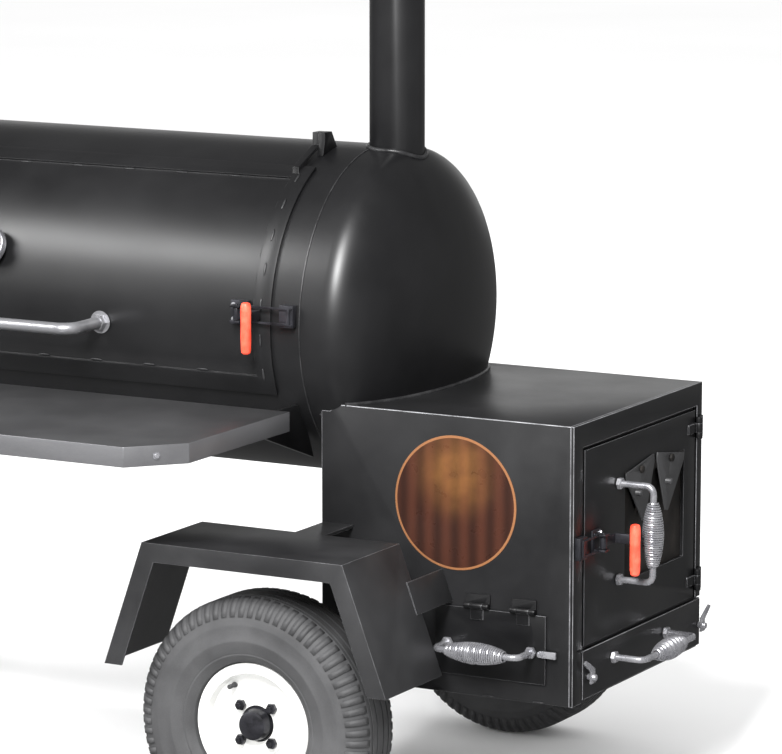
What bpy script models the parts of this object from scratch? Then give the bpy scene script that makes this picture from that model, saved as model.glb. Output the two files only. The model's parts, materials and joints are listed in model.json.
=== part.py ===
"""Trailer-mounted offset smoker: a horizontal tank cooking chamber, a square firebox at its right end,
a road trailer under both.  Metres, +Z up, X along the tank, the cook stands at -Y."""
import math

import bmesh
import bpy
from mathutils import Matrix, Vector

GAP = 0.0003  # clearance between pieces that touch
FOOTPRINT_Y = 0.1005  # the shelf reaches this much further forward than the far fender does aft, halved

# Cooking tank
TANK_Z = 0.900
TANK_R = 0.305
TANK_WALL = 0.0064
TANK_X0 = -0.418
TANK_X1 = 0.998
HEAD_DEPTH = 0.116
HEAD_RINGS = 4
TURN_STEP = 6  # degrees between the flats of round shells
MID_X = 0.290

# Cooking door
DOOR_HALF = 0.589
DOOR_TOP = 59.6
DOOR_BOTTOM = -19.8
STRAP_HALF = 0.608
STRAP_TOP = 63.0
STRAP_BOTTOM = -23.4
STRAP_W = 0.035
STRAP_T = 0.005
HINGE_Y = -0.075
HINGE_Z = 1.219

# Firebox
BOX_X0 = 0.980
BOX_X1 = 1.480
BOX_HALF = 0.268
BOX_Z0 = 0.264
BOX_Z1 = 0.767
PLATE = 0.0064
FACE_T = 0.006

# Running gear
WHEEL_X = 0.990
WHEEL_Y = 0.4845
TYRE_R = 0.231
AXLE_HALF = 0.025
FENDER_Y0 = 0.381
FENDER_Y1 = 0.588
FENDER_TOP = 0.552
FENDER_LOW = 0.324
SHEET = 0.003

# Tongue
TONGUE_Z0 = 0.400
TONGUE_Z1 = 0.464
TONGUE_HALF = 0.032
TONGUE_X0 = -1.400
TONGUE_X1 = 0.060
COUPLER_TIP = -1.5775
JACK_X = -1.150
JACK_Y = 0.070


def material(name, rgb, rough, metal):
    made = bpy.data.materials.new(name)
    made.use_nodes = True
    shader = made.node_tree.nodes["Principled BSDF"]
    shader.inputs["Base Color"].default_value = (*rgb, 1.0)
    shader.inputs["Roughness"].default_value = rough
    shader.inputs["Metallic"].default_value = metal
    return made


def wipe():
    for old in list(bpy.data.objects):
        bpy.data.objects.remove(old, do_unlink=True)


wipe()
BLACK = material("satin_black_paint", (0.016, 0.016, 0.017), 0.42, 0.0)
GREY = material("worn_black_sheet", (0.06, 0.06, 0.062), 0.45, 0.0)
STEEL = material("stainless_tube", (0.55, 0.55, 0.56), 0.28, 1.0)
CHROME = material("bright_plated_steel", (0.62, 0.62, 0.64), 0.18, 1.0)
RED = material("red_vinyl_grip", (0.74, 0.09, 0.06), 0.5, 0.0)
RUBBER = material("tyre_rubber", (0.035, 0.035, 0.036), 0.8, 0.0)
WHITE = material("white_enamel", (0.8, 0.8, 0.79), 0.35, 0.0)
BARE = material("raw_grate_steel", (0.19, 0.18, 0.17), 0.55, 1.0)
DECAL = material("printed_emblem", (0.32, 0.15, 0.07), 0.5, 0.0)


def solid(name, bm, mat):
    """Turn a bmesh, built in world coordinates, into a named object at the world origin."""
    bmesh.ops.remove_doubles(bm, verts=bm.verts, dist=0.00005)
    bmesh.ops.recalc_face_normals(bm, faces=bm.faces)
    mesh = bpy.data.meshes.new(name)
    bm.to_mesh(mesh)
    bm.free()
    made = bpy.data.objects.new(name, mesh)
    bpy.context.scene.collection.objects.link(made)
    mesh.materials.append(mat)
    return made


def add_box(bm, x0, x1, y0, y1, z0, z1):
    corners = [bm.verts.new((x, y, z)) for x in (x0, x1) for y in (y0, y1) for z in (z0, z1)]
    for ring in ((0, 1, 3, 2), (4, 6, 7, 5), (0, 4, 5, 1), (2, 3, 7, 6), (0, 2, 6, 4), (1, 5, 7, 3)):
        bm.faces.new([corners[i] for i in ring])


def box(name, mat, x0, x1, y0, y1, z0, z1):
    bm = bmesh.new()
    add_box(bm, x0, x1, y0, y1, z0, z1)
    return solid(name, bm, mat)


def prism(name, mat, outline, axis, start, end):
    """Extrude a flat outline along an axis; the outline's pairs are the other two axes in order."""
    bm = bmesh.new()

    def place(pair, along):
        spot = list(pair)
        spot.insert("XYZ".index(axis), along)
        return bm.verts.new(spot)

    low = [place(pair, start) for pair in outline]
    high = [place(pair, end) for pair in outline]
    bm.faces.new(low)
    bm.faces.new(high)
    count = len(outline)
    for i in range(count):
        j = (i + 1) % count
        bm.faces.new((low[i], low[j], high[j], high[i]))
    return solid(name, bm, mat)


def lathe(name, mat, profile, base, direction, steps, ring=False):
    """Turn (radius, distance) pairs round a line from base; ring=True closes the profile on itself."""
    bm = bmesh.new()
    turn = Vector(direction).normalized().to_track_quat("Z", "Y").to_matrix()
    rows = []
    for radius, along in profile:
        if radius < 1e-7:
            rows.append([bm.verts.new(Vector(base) + turn @ Vector((0, 0, along)))])
            continue
        row = []
        for k in range(steps):
            angle = 2 * math.pi * k / steps
            spot = Vector((radius * math.cos(angle), radius * math.sin(angle), along))
            row.append(bm.verts.new(Vector(base) + turn @ spot))
        rows.append(row)
    pairs = list(zip(rows, rows[1:]))
    if ring:
        pairs.append((rows[-1], rows[0]))
    for a, b in pairs:
        for k in range(steps):
            n = (k + 1) % steps
            if len(a) == 1:
                bm.faces.new((a[0], b[k], b[n]))
            elif len(b) == 1:
                bm.faces.new((a[k], a[n], b[0]))
            else:
                bm.faces.new((a[k], a[n], b[n], b[k]))
    if not ring:
        for row in (rows[0], rows[-1]):
            if len(row) > 1:
                bm.faces.new(row)
    return solid(name, bm, mat)


def rod(name, mat, start, end, radius, steps=12):
    line = Vector(end) - Vector(start)
    return lathe(name, mat, [(radius, 0), (radius, line.length)], start, line, steps)


def bent_rod(name, mat, corners, radius, bend, steps=12, bend_steps=5):
    """A round bar through the corner points, each inner corner rounded to the bend radius."""
    pts = [Vector(c) for c in corners]
    path = [pts[0]]
    for before, corner, after in zip(pts, pts[1:], pts[2:]):
        a = (before - corner).normalized()
        b = (after - corner).normalized()
        half = a.angle(b) / 2
        setback = bend / math.tan(half)
        centre = corner + (a + b).normalized() * (bend / math.sin(half))
        first = (corner + a * setback - centre).normalized()
        last = (corner + b * setback - centre).normalized()
        for k in range(bend_steps + 1):
            path.append(centre + bend * first.slerp(last, k / bend_steps))
    path.append(pts[-1])
    bm = bmesh.new()
    normal = (pts[1] - pts[0]).cross(pts[-1] - pts[1]).normalized()
    rows = []
    for i, spot in enumerate(path):
        ahead = path[min(i + 1, len(path) - 1)] - path[max(i - 1, 0)]
        side = ahead.cross(normal).normalized()
        rows.append([
            bm.verts.new(spot + radius * (math.cos(t) * side + math.sin(t) * normal))
            for t in (2 * math.pi * k / steps for k in range(steps))
        ])
    for a, b in zip(rows, rows[1:]):
        for k in range(steps):
            n = (k + 1) % steps
            bm.faces.new((a[k], a[n], b[n], b[k]))
    bm.faces.new(rows[0])
    bm.faces.new(rows[-1])
    return solid(name, bm, mat)


def polar(radius, degrees):
    """Point on the tank's cross-section: degrees up from the front horizontal."""
    angle = math.radians(degrees)
    return (-radius * math.cos(angle), TANK_Z + radius * math.sin(angle))


def arc_plate(name, mat, x0, x1, r0, r1, a0, a1):
    """A curved plate following the tank, its inner flats on the tank's own flats."""
    stops = [a0]
    step = math.ceil(a0 / TURN_STEP + 0.01) * TURN_STEP
    while step < a1 - 0.3:
        stops.append(step)
        step += TURN_STEP
    stops.append(a1)
    outline = [polar(r0, a) for a in stops] + [polar(r1, a) for a in reversed(stops)]
    return prism(name, mat, outline, "X", x0, x1)


def boolean(target, tool, operation):
    bpy.context.view_layer.objects.active = target
    step = target.modifiers.new(operation.lower(), "BOOLEAN")
    step.operation = operation
    step.solver = "EXACT"
    step.object = tool
    bpy.ops.object.modifier_apply(modifier=step.name)
    bpy.data.objects.remove(tool, do_unlink=True)
    return target


def cut(target, *tools):
    for tool in tools:
        boolean(target, tool, "DIFFERENCE")
    return target


def join(target, *tools):
    for tool in tools:
        boolean(target, tool, "UNION")
    return target


def pivot(piece, spot):
    """Move a piece's origin to its joint axis without moving the piece."""
    piece.data.transform(Matrix.Translation(-Vector(spot)))
    piece.location = spot
    return piece


def hang(parent, *children):
    """Parent pieces that are already in place."""
    for child in children:
        child.location = Vector(child.location) - Vector(parent.location)
        child.parent = parent


def soften(piece, degrees=40):
    bpy.ops.object.select_all(action="DESELECT")
    piece.select_set(True)
    bpy.context.view_layer.objects.active = piece
    bpy.ops.object.shade_smooth()
    piece.data.set_sharp_from_angle(angle=math.radians(degrees))


def tank_profile(grow, depth_rings=HEAD_RINGS):
    """Half outline of the tank, (radius, x), grown outward by a distance."""
    radius = TANK_R + grow
    depth = HEAD_DEPTH + grow
    left = []
    for k in range(depth_rings + 1):
        t = math.pi / 2 * k / depth_rings
        left.append((radius * math.sin(t), TANK_X0 - depth * math.cos(t)))
    right = [(r, TANK_X1 + (TANK_X0 - x)) for r, x in reversed(left)]
    return left + right


TURNS = 360 // TURN_STEP


def tank_solid(name, grow):
    return lathe(name, BLACK, tank_profile(grow), (0, 0, TANK_Z), (1, 0, 0), TURNS)


# ---- cooking tank: rolled shell with pressed heads, door opening, stack hole and firebox throat
tank = tank_solid("tank_shell", 0)
cut(tank, tank_solid("tank_inner", -TANK_WALL))
OPEN_HALF = DOOR_HALF + 0.003
cut(tank, arc_plate("door_hole", BLACK, MID_X - OPEN_HALF, MID_X + OPEN_HALF, 0.20, 0.36,
                    DOOR_BOTTOM - 0.6, DOOR_TOP + 0.6))
STACK_X = 0.989
STACK_R = 0.0508
STACK_TOP = 1.990
STACK_WALL = 0.003
cut(tank, rod("stack_hole", BLACK, (STACK_X, 0, 1.05), (STACK_X, 0, 1.30), STACK_R - STACK_WALL, 24))
THROAT_HALF = 0.170
BAFFLE_Z = 0.745
cut(tank, box("throat_hole", BLACK, 1.005, 1.2, -THROAT_HALF, THROAT_HALF, 0.640, BAFFLE_Z - 0.006))
DRAIN_X = -0.180
DRAIN_R = 0.0165
cut(tank, rod("drain_hole", BLACK, (DRAIN_X, 0, 0.50), (DRAIN_X, 0, 0.70), DRAIN_R - 0.004, 16))
soften(tank, 30)

# ---- inside the tank: reverse-flow baffle, two rails, two grates
BAFFLE_HALF = 0.2542
baffle = box("baffle_plate", BARE, -0.260, 0.985, -BAFFLE_HALF, BAFFLE_HALF, BAFFLE_Z, BAFFLE_Z + 0.005)
RAIL_Z = 0.846
RAIL_HALF = 0.2930
rails = box("grate_rails", BARE, -0.410, 0.990, -RAIL_HALF, RAIL_HALF, RAIL_Z, RAIL_Z + 0.010)
cut(rails, box("rail_gap", BARE, -0.390, 0.970, -0.262, 0.262, RAIL_Z - 0.02, RAIL_Z + 0.03))


def slotted(name, x0, x1, y0, y1, z0, z1, slots, rim, bar):
    """A grate: a flat frame with long slots, bars left between them."""
    plate = box(name, BARE, x0, x1, y0, y1, z0, z1)
    bm = bmesh.new()
    pitch = (x1 - x0 - 2 * rim + bar) / slots
    for k in range(slots):
        start = x0 + rim + k * pitch
        add_box(bm, start, start + pitch - bar, y0 + rim, y1 - rim, z0 - 0.01, z1 + 0.01)
    return cut(plate, solid(name + "_slots", bm, BARE))


GRATE_Z = RAIL_Z + 0.010 + GAP
grates = [
    slotted("cooking_grate_left", -0.385, 0.286, -0.276, 0.276, GRATE_Z, GRATE_Z + 0.008, 10, 0.014, 0.008),
    slotted("cooking_grate_right", 0.294, 0.965, -0.276, 0.276, GRATE_Z, GRATE_Z + 0.008, 10, 0.014, 0.008),
]

# ---- smokestack with a hinged rain cap
stack = lathe("smokestack", BLACK, [(STACK_R, 1.10), (STACK_R, STACK_TOP)], (STACK_X, 0, 0), (0, 0, 1), 24)
cut(stack, lathe("stack_bore", BLACK, [(STACK_R - STACK_WALL, 1.0), (STACK_R - STACK_WALL, 2.1)],
                 (STACK_X, 0, 0), (0, 0, 1), 24))
cut(stack, tank_solid("stack_saddle", GAP))
CAP_Y = STACK_R + 0.012
CAP_Z = STACK_TOP + 0.006
CAP_PIN = 0.004
lug = box("cap_lug", BLACK, STACK_X - 0.020, STACK_X - 0.014, STACK_R - 0.0050, CAP_Y + 0.008,
          STACK_TOP - 0.030, CAP_Z + 0.008)
lug_far = box("cap_lug_far", BLACK, STACK_X + 0.014, STACK_X + 0.020, STACK_R - 0.0050, CAP_Y + 0.008,
              STACK_TOP - 0.030, CAP_Z + 0.008)
pin = rod("cap_pin", BLACK, (STACK_X - 0.018, CAP_Y, CAP_Z), (STACK_X + 0.018, CAP_Y, CAP_Z), CAP_PIN)
join(stack, lug, lug_far, pin)
soften(stack, 30)
cap = lathe("stack_cap", BLACK, [(STACK_R + 0.006, STACK_TOP + GAP), (STACK_R + 0.006, STACK_TOP + 0.004)],
            (STACK_X, 0, 0), (0, 0, 1), 24)
join(cap, rod("cap_barrel", BLACK, (STACK_X - 0.0132, CAP_Y, CAP_Z), (STACK_X + 0.0132, CAP_Y, CAP_Z), 0.008, 20))
cut(cap, rod("cap_bore", BLACK, (STACK_X - 0.03, CAP_Y, CAP_Z), (STACK_X + 0.03, CAP_Y, CAP_Z),
             CAP_PIN + GAP, 16))
for near_x, far_x in ((-0.0215, -0.0133), (0.0133, 0.0215)):
    cut(cap, box("cap_notch", BLACK, STACK_X + near_x, STACK_X + far_x, STACK_R - 0.0070, CAP_Y + 0.02,
                 STACK_TOP - 0.02, STACK_TOP + 0.04))
pivot(cap, (STACK_X, CAP_Y, CAP_Z))
soften(cap, 30)

# ---- cooking door: curved skin, flat straps all round lapping the shell, arms up to the hinge pins
SKIN_R0 = TANK_R - TANK_WALL + 0.0006
SKIN_R1 = TANK_R + 0.0008
STRAP_R0 = TANK_R + GAP
STRAP_R1 = STRAP_R0 + STRAP_T
turn_w = math.degrees(STRAP_W / TANK_R)
door = arc_plate("cooking_door", BLACK, MID_X - DOOR_HALF, MID_X + DOOR_HALF, SKIN_R0, SKIN_R1,
                 DOOR_BOTTOM, DOOR_TOP)
ring = arc_plate("door_straps", BLACK, MID_X - STRAP_HALF, MID_X + STRAP_HALF, STRAP_R0, STRAP_R1,
                 STRAP_BOTTOM, STRAP_TOP)
cut(ring, arc_plate("strap_window", BLACK, MID_X - STRAP_HALF + STRAP_W, MID_X + STRAP_HALF - STRAP_W, 0.28, 0.34,
                    STRAP_BOTTOM + turn_w, STRAP_TOP - turn_w))
join(door, ring)
HINGE_SETS = (MID_X - 0.583, MID_X + 0.583)
arm_outline = [
    (HINGE_Y - 0.013, HINGE_Z - 0.010), (HINGE_Y - 0.013, HINGE_Z + 0.013), (HINGE_Y + 0.011, HINGE_Z + 0.013),
    (HINGE_Y + 0.011, HINGE_Z - 0.008), (-0.114, 1.191), (-0.150, 1.170), (-0.162, 1.163), (-0.162, 1.176),
]
for hinge_x in HINGE_SETS:
    arm = prism("door_arm", BLACK, arm_outline, "X", hinge_x - 0.0125, hinge_x + 0.0005)
    join(door, arm)
    cut(door, rod("door_bore", BLACK, (hinge_x - 0.03, HINGE_Y, HINGE_Z), (hinge_x + 0.03, HINGE_Y, HINGE_Z),
                  0.0065 + GAP, 12))
pivot(door, (MID_X, HINGE_Y, HINGE_Z))
soften(door, 30)

lug_outline = [
    (HINGE_Y - 0.013, HINGE_Z - 0.004), (HINGE_Y - 0.013, HINGE_Z + 0.013), (HINGE_Y + 0.013, HINGE_Z + 0.013),
    (-0.035, 1.190), (-0.100, 1.170),
]
door_lugs = []
for hinge_x, tag in zip(HINGE_SETS, ("left", "right")):
    lug = prism("door_hinge_lug_" + tag, BLACK, lug_outline, "X", hinge_x + 0.0010, hinge_x + 0.0135)
    cut(lug, arc_plate("lug_saddle", BLACK, hinge_x - 0.1, hinge_x + 0.1, 0.2, TANK_R + GAP, 54, 120))
    join(lug, rod("hinge_pin", BLACK, (hinge_x - 0.0150, HINGE_Y, HINGE_Z),
                  (hinge_x + 0.0120, HINGE_Y, HINGE_Z), 0.0065))
    soften(lug, 30)
    door_lugs.append(lug)

# ---- tubular handle on the door
HANDLE_HALF = 0.246
HANDLE_Z = 0.886
HANDLE_OUT = -0.410
handle_foot = -0.3062
handle = bent_rod("door_handle", STEEL, [
    (MID_X + HANDLE_HALF, handle_foot, HANDLE_Z), (MID_X + HANDLE_HALF, HANDLE_OUT, HANDLE_Z),
    (MID_X - HANDLE_HALF, HANDLE_OUT, HANDLE_Z), (MID_X - HANDLE_HALF, handle_foot, HANDLE_Z),
], 0.011, 0.032, 12, 4)
for side in (-1, 1):
    foot_x = MID_X + side * HANDLE_HALF
    join(handle, lathe("handle_nut", STEEL, [(0.017, 0.001), (0.017, 0.013)], (foot_x, handle_foot, HANDLE_Z),
                       (0, -1, 0), 6))
soften(handle, 35)

# ---- dial thermometer in the middle of the door
THERMO_ANGLE = 20.0
out_y, out_z = (-math.cos(math.radians(THERMO_ANGLE)), math.sin(math.radians(THERMO_ANGLE)))
thermo_y, thermo_z = polar(SKIN_R1 + 0.0004, THERMO_ANGLE)
thermometer = lathe("thermometer", CHROME, [
    (0.008, 0), (0.008, 0.010), (0.036, 0.012), (0.038, 0.015), (0.038, 0.026), (0.035, 0.029), (0.033, 0.027),
    (0, 0.027),
], (MID_X, thermo_y, thermo_z), (0, out_y, out_z), 20)
soften(thermometer, 30)

# ---- front shelf: a sheet tray with a clipped corner each end and a turned-down rim, on two brackets
SHELF_Z = 0.7635
SHELF_HALF = 0.675
SHELF_CLIP_X = 0.078
SHELF_CLIP_Y = 0.088
SHELF_Y0 = -0.356
SHELF_Y1 = -0.789
RIM = 0.036


def shelf_outline(inset):
    x0 = MID_X - SHELF_HALF + inset
    x1 = MID_X + SHELF_HALF - inset
    y1 = SHELF_Y1 + inset
    clip = inset * 0.42
    return [
        (x0, SHELF_Y0), (x0, SHELF_Y1 + SHELF_CLIP_Y + clip), (x0 + SHELF_CLIP_X - clip, y1),
        (x1 - SHELF_CLIP_X + clip, y1), (x1, SHELF_Y1 + SHELF_CLIP_Y + clip), (x1, SHELF_Y0),
    ]


shelf = prism("front_shelf", GREY, shelf_outline(0), "Z", SHELF_Z - RIM, SHELF_Z)
tray_hole = [(x, y + (0.05 if y == SHELF_Y0 else 0)) for x, y in shelf_outline(SHEET)]
cut(shelf, prism("shelf_hollow", GREY, tray_hole, "Z", SHELF_Z - RIM - 0.02, SHELF_Z - SHEET))
shelf_arms = []
for arm_x, tag in ((MID_X - 0.640, "left"), (MID_X + 0.640, "right")):
    outline = [
        (-0.230, 0.690), (-0.262, SHELF_Z - SHEET - GAP), (SHELF_Y1 + 0.06, SHELF_Z - SHEET - GAP),
        (SHELF_Y1 + 0.06, SHELF_Z - SHEET - 0.020), (-0.420, SHELF_Z - 0.036), (-0.215, 0.655),
    ]
    arm = prism("shelf_arm_" + tag, BLACK, outline, "X", arm_x - 0.004, arm_x + 0.004)
    cut(arm, arc_plate("arm_saddle", BLACK, arm_x - 0.1, arm_x + 0.1, 0.1, TANK_R + GAP, -72, 12))
    shelf_arms.append(arm)

# ---- firebox: welded plate box coped round the tank head
firebox = box("firebox_body", BLACK, BOX_X0, BOX_X1, -BOX_HALF, BOX_HALF, BOX_Z0, BOX_Z1)
cut(firebox, box("box_inside", BLACK, BOX_X0 + PLATE, BOX_X1 - PLATE, -BOX_HALF + PLATE, BOX_HALF - PLATE,
                 BOX_Z0 + PLATE, BOX_Z1 - PLATE))
cut(firebox, tank_solid("box_cope", GAP))
cut(firebox, box("fuel_opening", BLACK, BOX_X1 - 0.03, BOX_X1 + 0.03, -0.208, 0.219, 0.385, 0.702))
cut(firebox, box("ash_opening", BLACK, BOX_X1 - 0.03, BOX_X1 + 0.03, -0.214, 0.214, 0.280, 0.350))
cut(firebox, box("side_opening", BLACK, 1.236, 1.414, -BOX_HALF - 0.03, -BOX_HALF + 0.03, 0.318, 0.410))

# ---- raised strips round the end of the firebox, leaving a dark gap beside the door
FACE_X = BOX_X1 + GAP
frame = box("firebox_face_frame", BLACK, FACE_X, FACE_X + FACE_T, -BOX_HALF, -0.2315, BOX_Z0, BOX_Z1)
join(frame, box("frame_top", BLACK, FACE_X, FACE_X + FACE_T, -0.2400, BOX_HALF, 0.7245, BOX_Z1))
join(frame, box("frame_right", BLACK, FACE_X, FACE_X + FACE_T, 0.2460, BOX_HALF, 0.3620, 0.7300))

# ---- firebox door with a square draft window
DOOR_X1 = FACE_X + FACE_T
fire_door = box("firebox_door", BLACK, FACE_X, DOOR_X1, -0.2240, 0.2370, 0.3660, 0.7180)
cut(fire_door, box("draft_window", BLACK, FACE_X - 0.01, DOOR_X1 + 0.01, -0.060, 0.190, 0.452, 0.652))
PIN_X = DOOR_X1 + 0.0066
PIN_Y = 0.2420
PIN_R = 0.0032
BARREL_R = 0.0062
HINGE_SPOTS = ((0.6850, "upper"), (0.3980, "lower"))
fire_hinges = []
for spot_z, tag in HINGE_SPOTS:
    join(fire_door, box("door_leaf", BLACK, DOOR_X1 - 0.001, DOOR_X1 + 0.0030, 0.2050, PIN_Y,
                        spot_z - 0.0085, spot_z + 0.0085))
    join(fire_door, rod("door_barrel", BLACK, (PIN_X, PIN_Y, spot_z - 0.0085), (PIN_X, PIN_Y, spot_z + 0.0085),
                        BARREL_R, 12))
    cut(fire_door, rod("barrel_bore", BLACK, (PIN_X, PIN_Y, spot_z - 0.02), (PIN_X, PIN_Y, spot_z + 0.02),
                       PIN_R + GAP, 12))
    fixed = box("firebox_door_hinge_" + tag, BLACK, DOOR_X1 + GAP, DOOR_X1 + 0.0030, PIN_Y, 0.2660,
                spot_z - 0.0200, spot_z + 0.0200)
    cut(fixed, rod("hinge_relief", BLACK, (PIN_X, PIN_Y, spot_z - 0.0088), (PIN_X, PIN_Y, spot_z + 0.0088),
                   BARREL_R + 0.0015, 16))
    for low in (-0.0200, 0.0088):
        join(fixed, rod("hinge_knuckle", BLACK, (PIN_X, PIN_Y, spot_z + low),
                        (PIN_X, PIN_Y, spot_z + low + 0.0112), BARREL_R, 12))
    join(fixed, rod("hinge_pin", BLACK, (PIN_X, PIN_Y, spot_z - 0.0190), (PIN_X, PIN_Y, spot_z + 0.0190), PIN_R, 12))
    fire_hinges.append(fixed)
pivot(fire_door, (PIN_X, PIN_Y, 0.542))

draft_plate = box("draft_plate", BLACK, BOX_X1 - 0.0040, BOX_X1 - GAP, -0.085, 0.212, 0.430, 0.676)
draft_flaps = []
FLAP_BOLT_R = 0.0034
FLAPS = ((0.125, 0.648, -9.0, "right"), (-0.002, 0.648, 9.0, "left"))
for flap_y, flap_z, lean, tag in FLAPS:
    hole = [(flap_y - 0.040, flap_z - 0.020), (flap_y + 0.040, flap_z - 0.020), (flap_y, flap_z - 0.082)]
    cut(draft_plate, prism("air_hole", BLACK, hole, "X", BOX_X1 - 0.02, BOX_X1 + 0.02))
    turn = Matrix.Rotation(math.radians(lean), 2)
    wedge = []
    for dy, dz in ((-0.058, 0.010), (0.058, 0.010), (0.058, -0.004), (0.006, -0.096), (-0.006, -0.096), (-0.058, -0.004)):
        spun = turn @ Vector((dy, dz))
        wedge.append((flap_y + spun.x, flap_z + spun.y))
    flap = prism("draft_flap_" + tag, GREY, wedge, "X", DOOR_X1 + 0.0008, DOOR_X1 + 0.0038)
    join(flap, lathe("flap_knob", GREY, [(0.006, 0), (0.006, 0.012), (0.004, 0.014)],
                     (DOOR_X1 + 0.002, flap_y - 0.018, flap_z - 0.040), (1, 0, 0), 12))
    cut(flap, rod("flap_bore", GREY, (DOOR_X1 - 0.01, flap_y, flap_z), (DOOR_X1 + 0.02, flap_y, flap_z),
                  FLAP_BOLT_R + GAP, 16))
    pivot(flap, (DOOR_X1 + 0.0023, flap_y, flap_z))
    draft_flaps.append(flap)
join(draft_plate, box("pivot_bar", BLACK, BOX_X1 - 0.0020, DOOR_X1 + 0.0004, -0.0590, 0.1890, 0.6380, 0.6515))
for flap_y, flap_z, lean, tag in FLAPS:
    join(draft_plate, rod("flap_bolt", BLACK, (DOOR_X1 - 0.001, flap_y, flap_z), (DOOR_X1 + 0.0050, flap_y, flap_z),
                        FLAP_BOLT_R, 16))
    join(draft_plate, rod("flap_bolt_head", BLACK, (DOOR_X1 + 0.0045, flap_y, flap_z),
                        (DOOR_X1 + 0.0085, flap_y, flap_z), 0.0075, 6))


# ---- bent rod handles with a spring-wire grip swollen in the middle
def coil_handle(name, foot_a, foot_b, out):
    """Rod from foot_a out along a direction, across and back to foot_b; nuts at the feet."""
    a, b, away = Vector(foot_a), Vector(foot_b), Vector(out)
    made = bent_rod(name, CHROME, [a, a + away, b + away, b], 0.0060, 0.014, 8, 3)
    across = (b - a).normalized()
    span = (b - a).length
    start = a + away + across * (span * 0.5 - 0.058)
    profile = [(0.0085, 0), (0.0165, 0.024), (0.0200, 0.058), (0.0165, 0.092), (0.0085, 0.116)]
    join(made, lathe("grip", CHROME, profile, start, across, 12))
    for foot in (a, b):
        join(made, lathe("nut", CHROME, [(0.0100, 0.0010), (0.0100, 0.0090)], foot, away, 6))
    soften(made, 35)
    return made


fire_handle = coil_handle("firebox_door_handle", (DOOR_X1 + GAP, -0.090, 0.637), (DOOR_X1 + GAP, -0.090, 0.462),
                          (0.070, 0, 0))

# ---- ash drawer: tray and front in one, with two swing catches and its runners
DRAW_Z0 = 0.2690
DRAW_Z1 = 0.3575
tray = box("ash_drawer", BLACK, 1.060, BOX_X1 + 0.001, -0.211, 0.211, 0.2825, 0.3470)
cut(tray, box("tray_hollow", BLACK, 1.063, BOX_X1 - 0.003, -0.208, 0.208, 0.2855, 0.3600))
join(tray, box("drawer_front", BLACK, FACE_X, DOOR_X1, -0.2270, BOX_HALF, DRAW_Z0, DRAW_Z1))
runners = box("drawer_runners", BARE, 1.010, 1.470, -0.200, 0.200, BOX_Z0 + PLATE + GAP, 0.2822)
cut(runners, box("runner_gap", BARE, 1.035, 1.500, -0.175, 0.175, 0.20, 0.40))
drawer_handle = coil_handle("ash_drawer_handle", (DOOR_X1 + GAP, -0.107, 0.323), (DOOR_X1 + GAP, 0.113, 0.323),
                            (0.062, 0, 0))
drawer_catches = []
for catch_y, side, tag in ((-0.205, -1, "left"), (0.262, 1, "right")):
    outline = [(catch_y + side * dy, z) for dy, z in (
        (-0.008, 0.296), (0.008, 0.296), (0.008, 0.318), (0.034, 0.338), (0.026, 0.342), (-0.008, 0.322))]
    catch = prism("drawer_catch_" + tag, CHROME, outline, "X", FACE_X + 0.0125, FACE_X + 0.0165)
    catch_z = 0.307
    join(catch, rod("catch_boss", CHROME, (DOOR_X1 + GAP, catch_y, catch_z), (DOOR_X1 + 0.016, catch_y, catch_z),
                    0.0060, 12))
    pivot(catch, (DOOR_X1, catch_y, catch_z))
    drawer_catches.append(catch)

# ---- fire grate of thick bars, wall to wall above the drawer
fire_grate = slotted("fire_grate", BOX_X0 + PLATE + GAP, BOX_X1 - PLATE - GAP, -BOX_HALF + PLATE + GAP,
                     BOX_HALF - PLATE - GAP, 0.3640, 0.3760, 9, 0.022, 0.016)

# ---- side clean-out flap, hinged along its top edge
FLAP_FACE = -BOX_HALF - GAP
side_flap = box("side_flap", BLACK, 1.215, 1.435, FLAP_FACE - 0.005, FLAP_FACE, 0.300, 0.4240)
FLAP_PIN_Y = FLAP_FACE - 0.0085
FLAP_PIN_Z = 0.4300
side_hinges = []
for hinge_x, tag in ((1.300, "left"), (1.392, "right")):
    join(side_flap, box("flap_leaf", BLACK, hinge_x - 0.012, hinge_x + 0.012, FLAP_PIN_Y, FLAP_FACE - 0.0040,
                        0.405, FLAP_PIN_Z))
    join(side_flap, rod("flap_barrel", BLACK, (hinge_x - 0.012, FLAP_PIN_Y, FLAP_PIN_Z),
                        (hinge_x + 0.012, FLAP_PIN_Y, FLAP_PIN_Z), 0.0055, 12))
    cut(side_flap, rod("flap_barrel_bore", BLACK, (hinge_x - 0.03, FLAP_PIN_Y, FLAP_PIN_Z),
                       (hinge_x + 0.03, FLAP_PIN_Y, FLAP_PIN_Z), 0.0030 + GAP, 12))
    fixed = box("side_flap_hinge_" + tag, BLACK, hinge_x - 0.024, hinge_x + 0.024, FLAP_FACE - 0.0035, FLAP_FACE,
                FLAP_PIN_Z, FLAP_PIN_Z + 0.020)
    cut(fixed, rod("flap_relief", BLACK, (hinge_x - 0.0123, FLAP_PIN_Y, FLAP_PIN_Z),
                   (hinge_x + 0.0123, FLAP_PIN_Y, FLAP_PIN_Z), 0.0070, 12))
    for low in (-0.024, 0.0123):
        join(fixed, box("knuckle_web", BLACK, hinge_x + low, hinge_x + low + 0.0117, FLAP_PIN_Y, FLAP_FACE - 0.001,
                        FLAP_PIN_Z - 0.003, FLAP_PIN_Z + 0.004))
        join(fixed, rod("flap_knuckle", BLACK, (hinge_x + low, FLAP_PIN_Y, FLAP_PIN_Z),
                        (hinge_x + low + 0.0117, FLAP_PIN_Y, FLAP_PIN_Z), 0.0055, 12))
    join(fixed, rod("flap_pin", BLACK, (hinge_x - 0.022, FLAP_PIN_Y, FLAP_PIN_Z),
                    (hinge_x + 0.022, FLAP_PIN_Y, FLAP_PIN_Z), 0.0030, 12))
    side_hinges.append(fixed)
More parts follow.
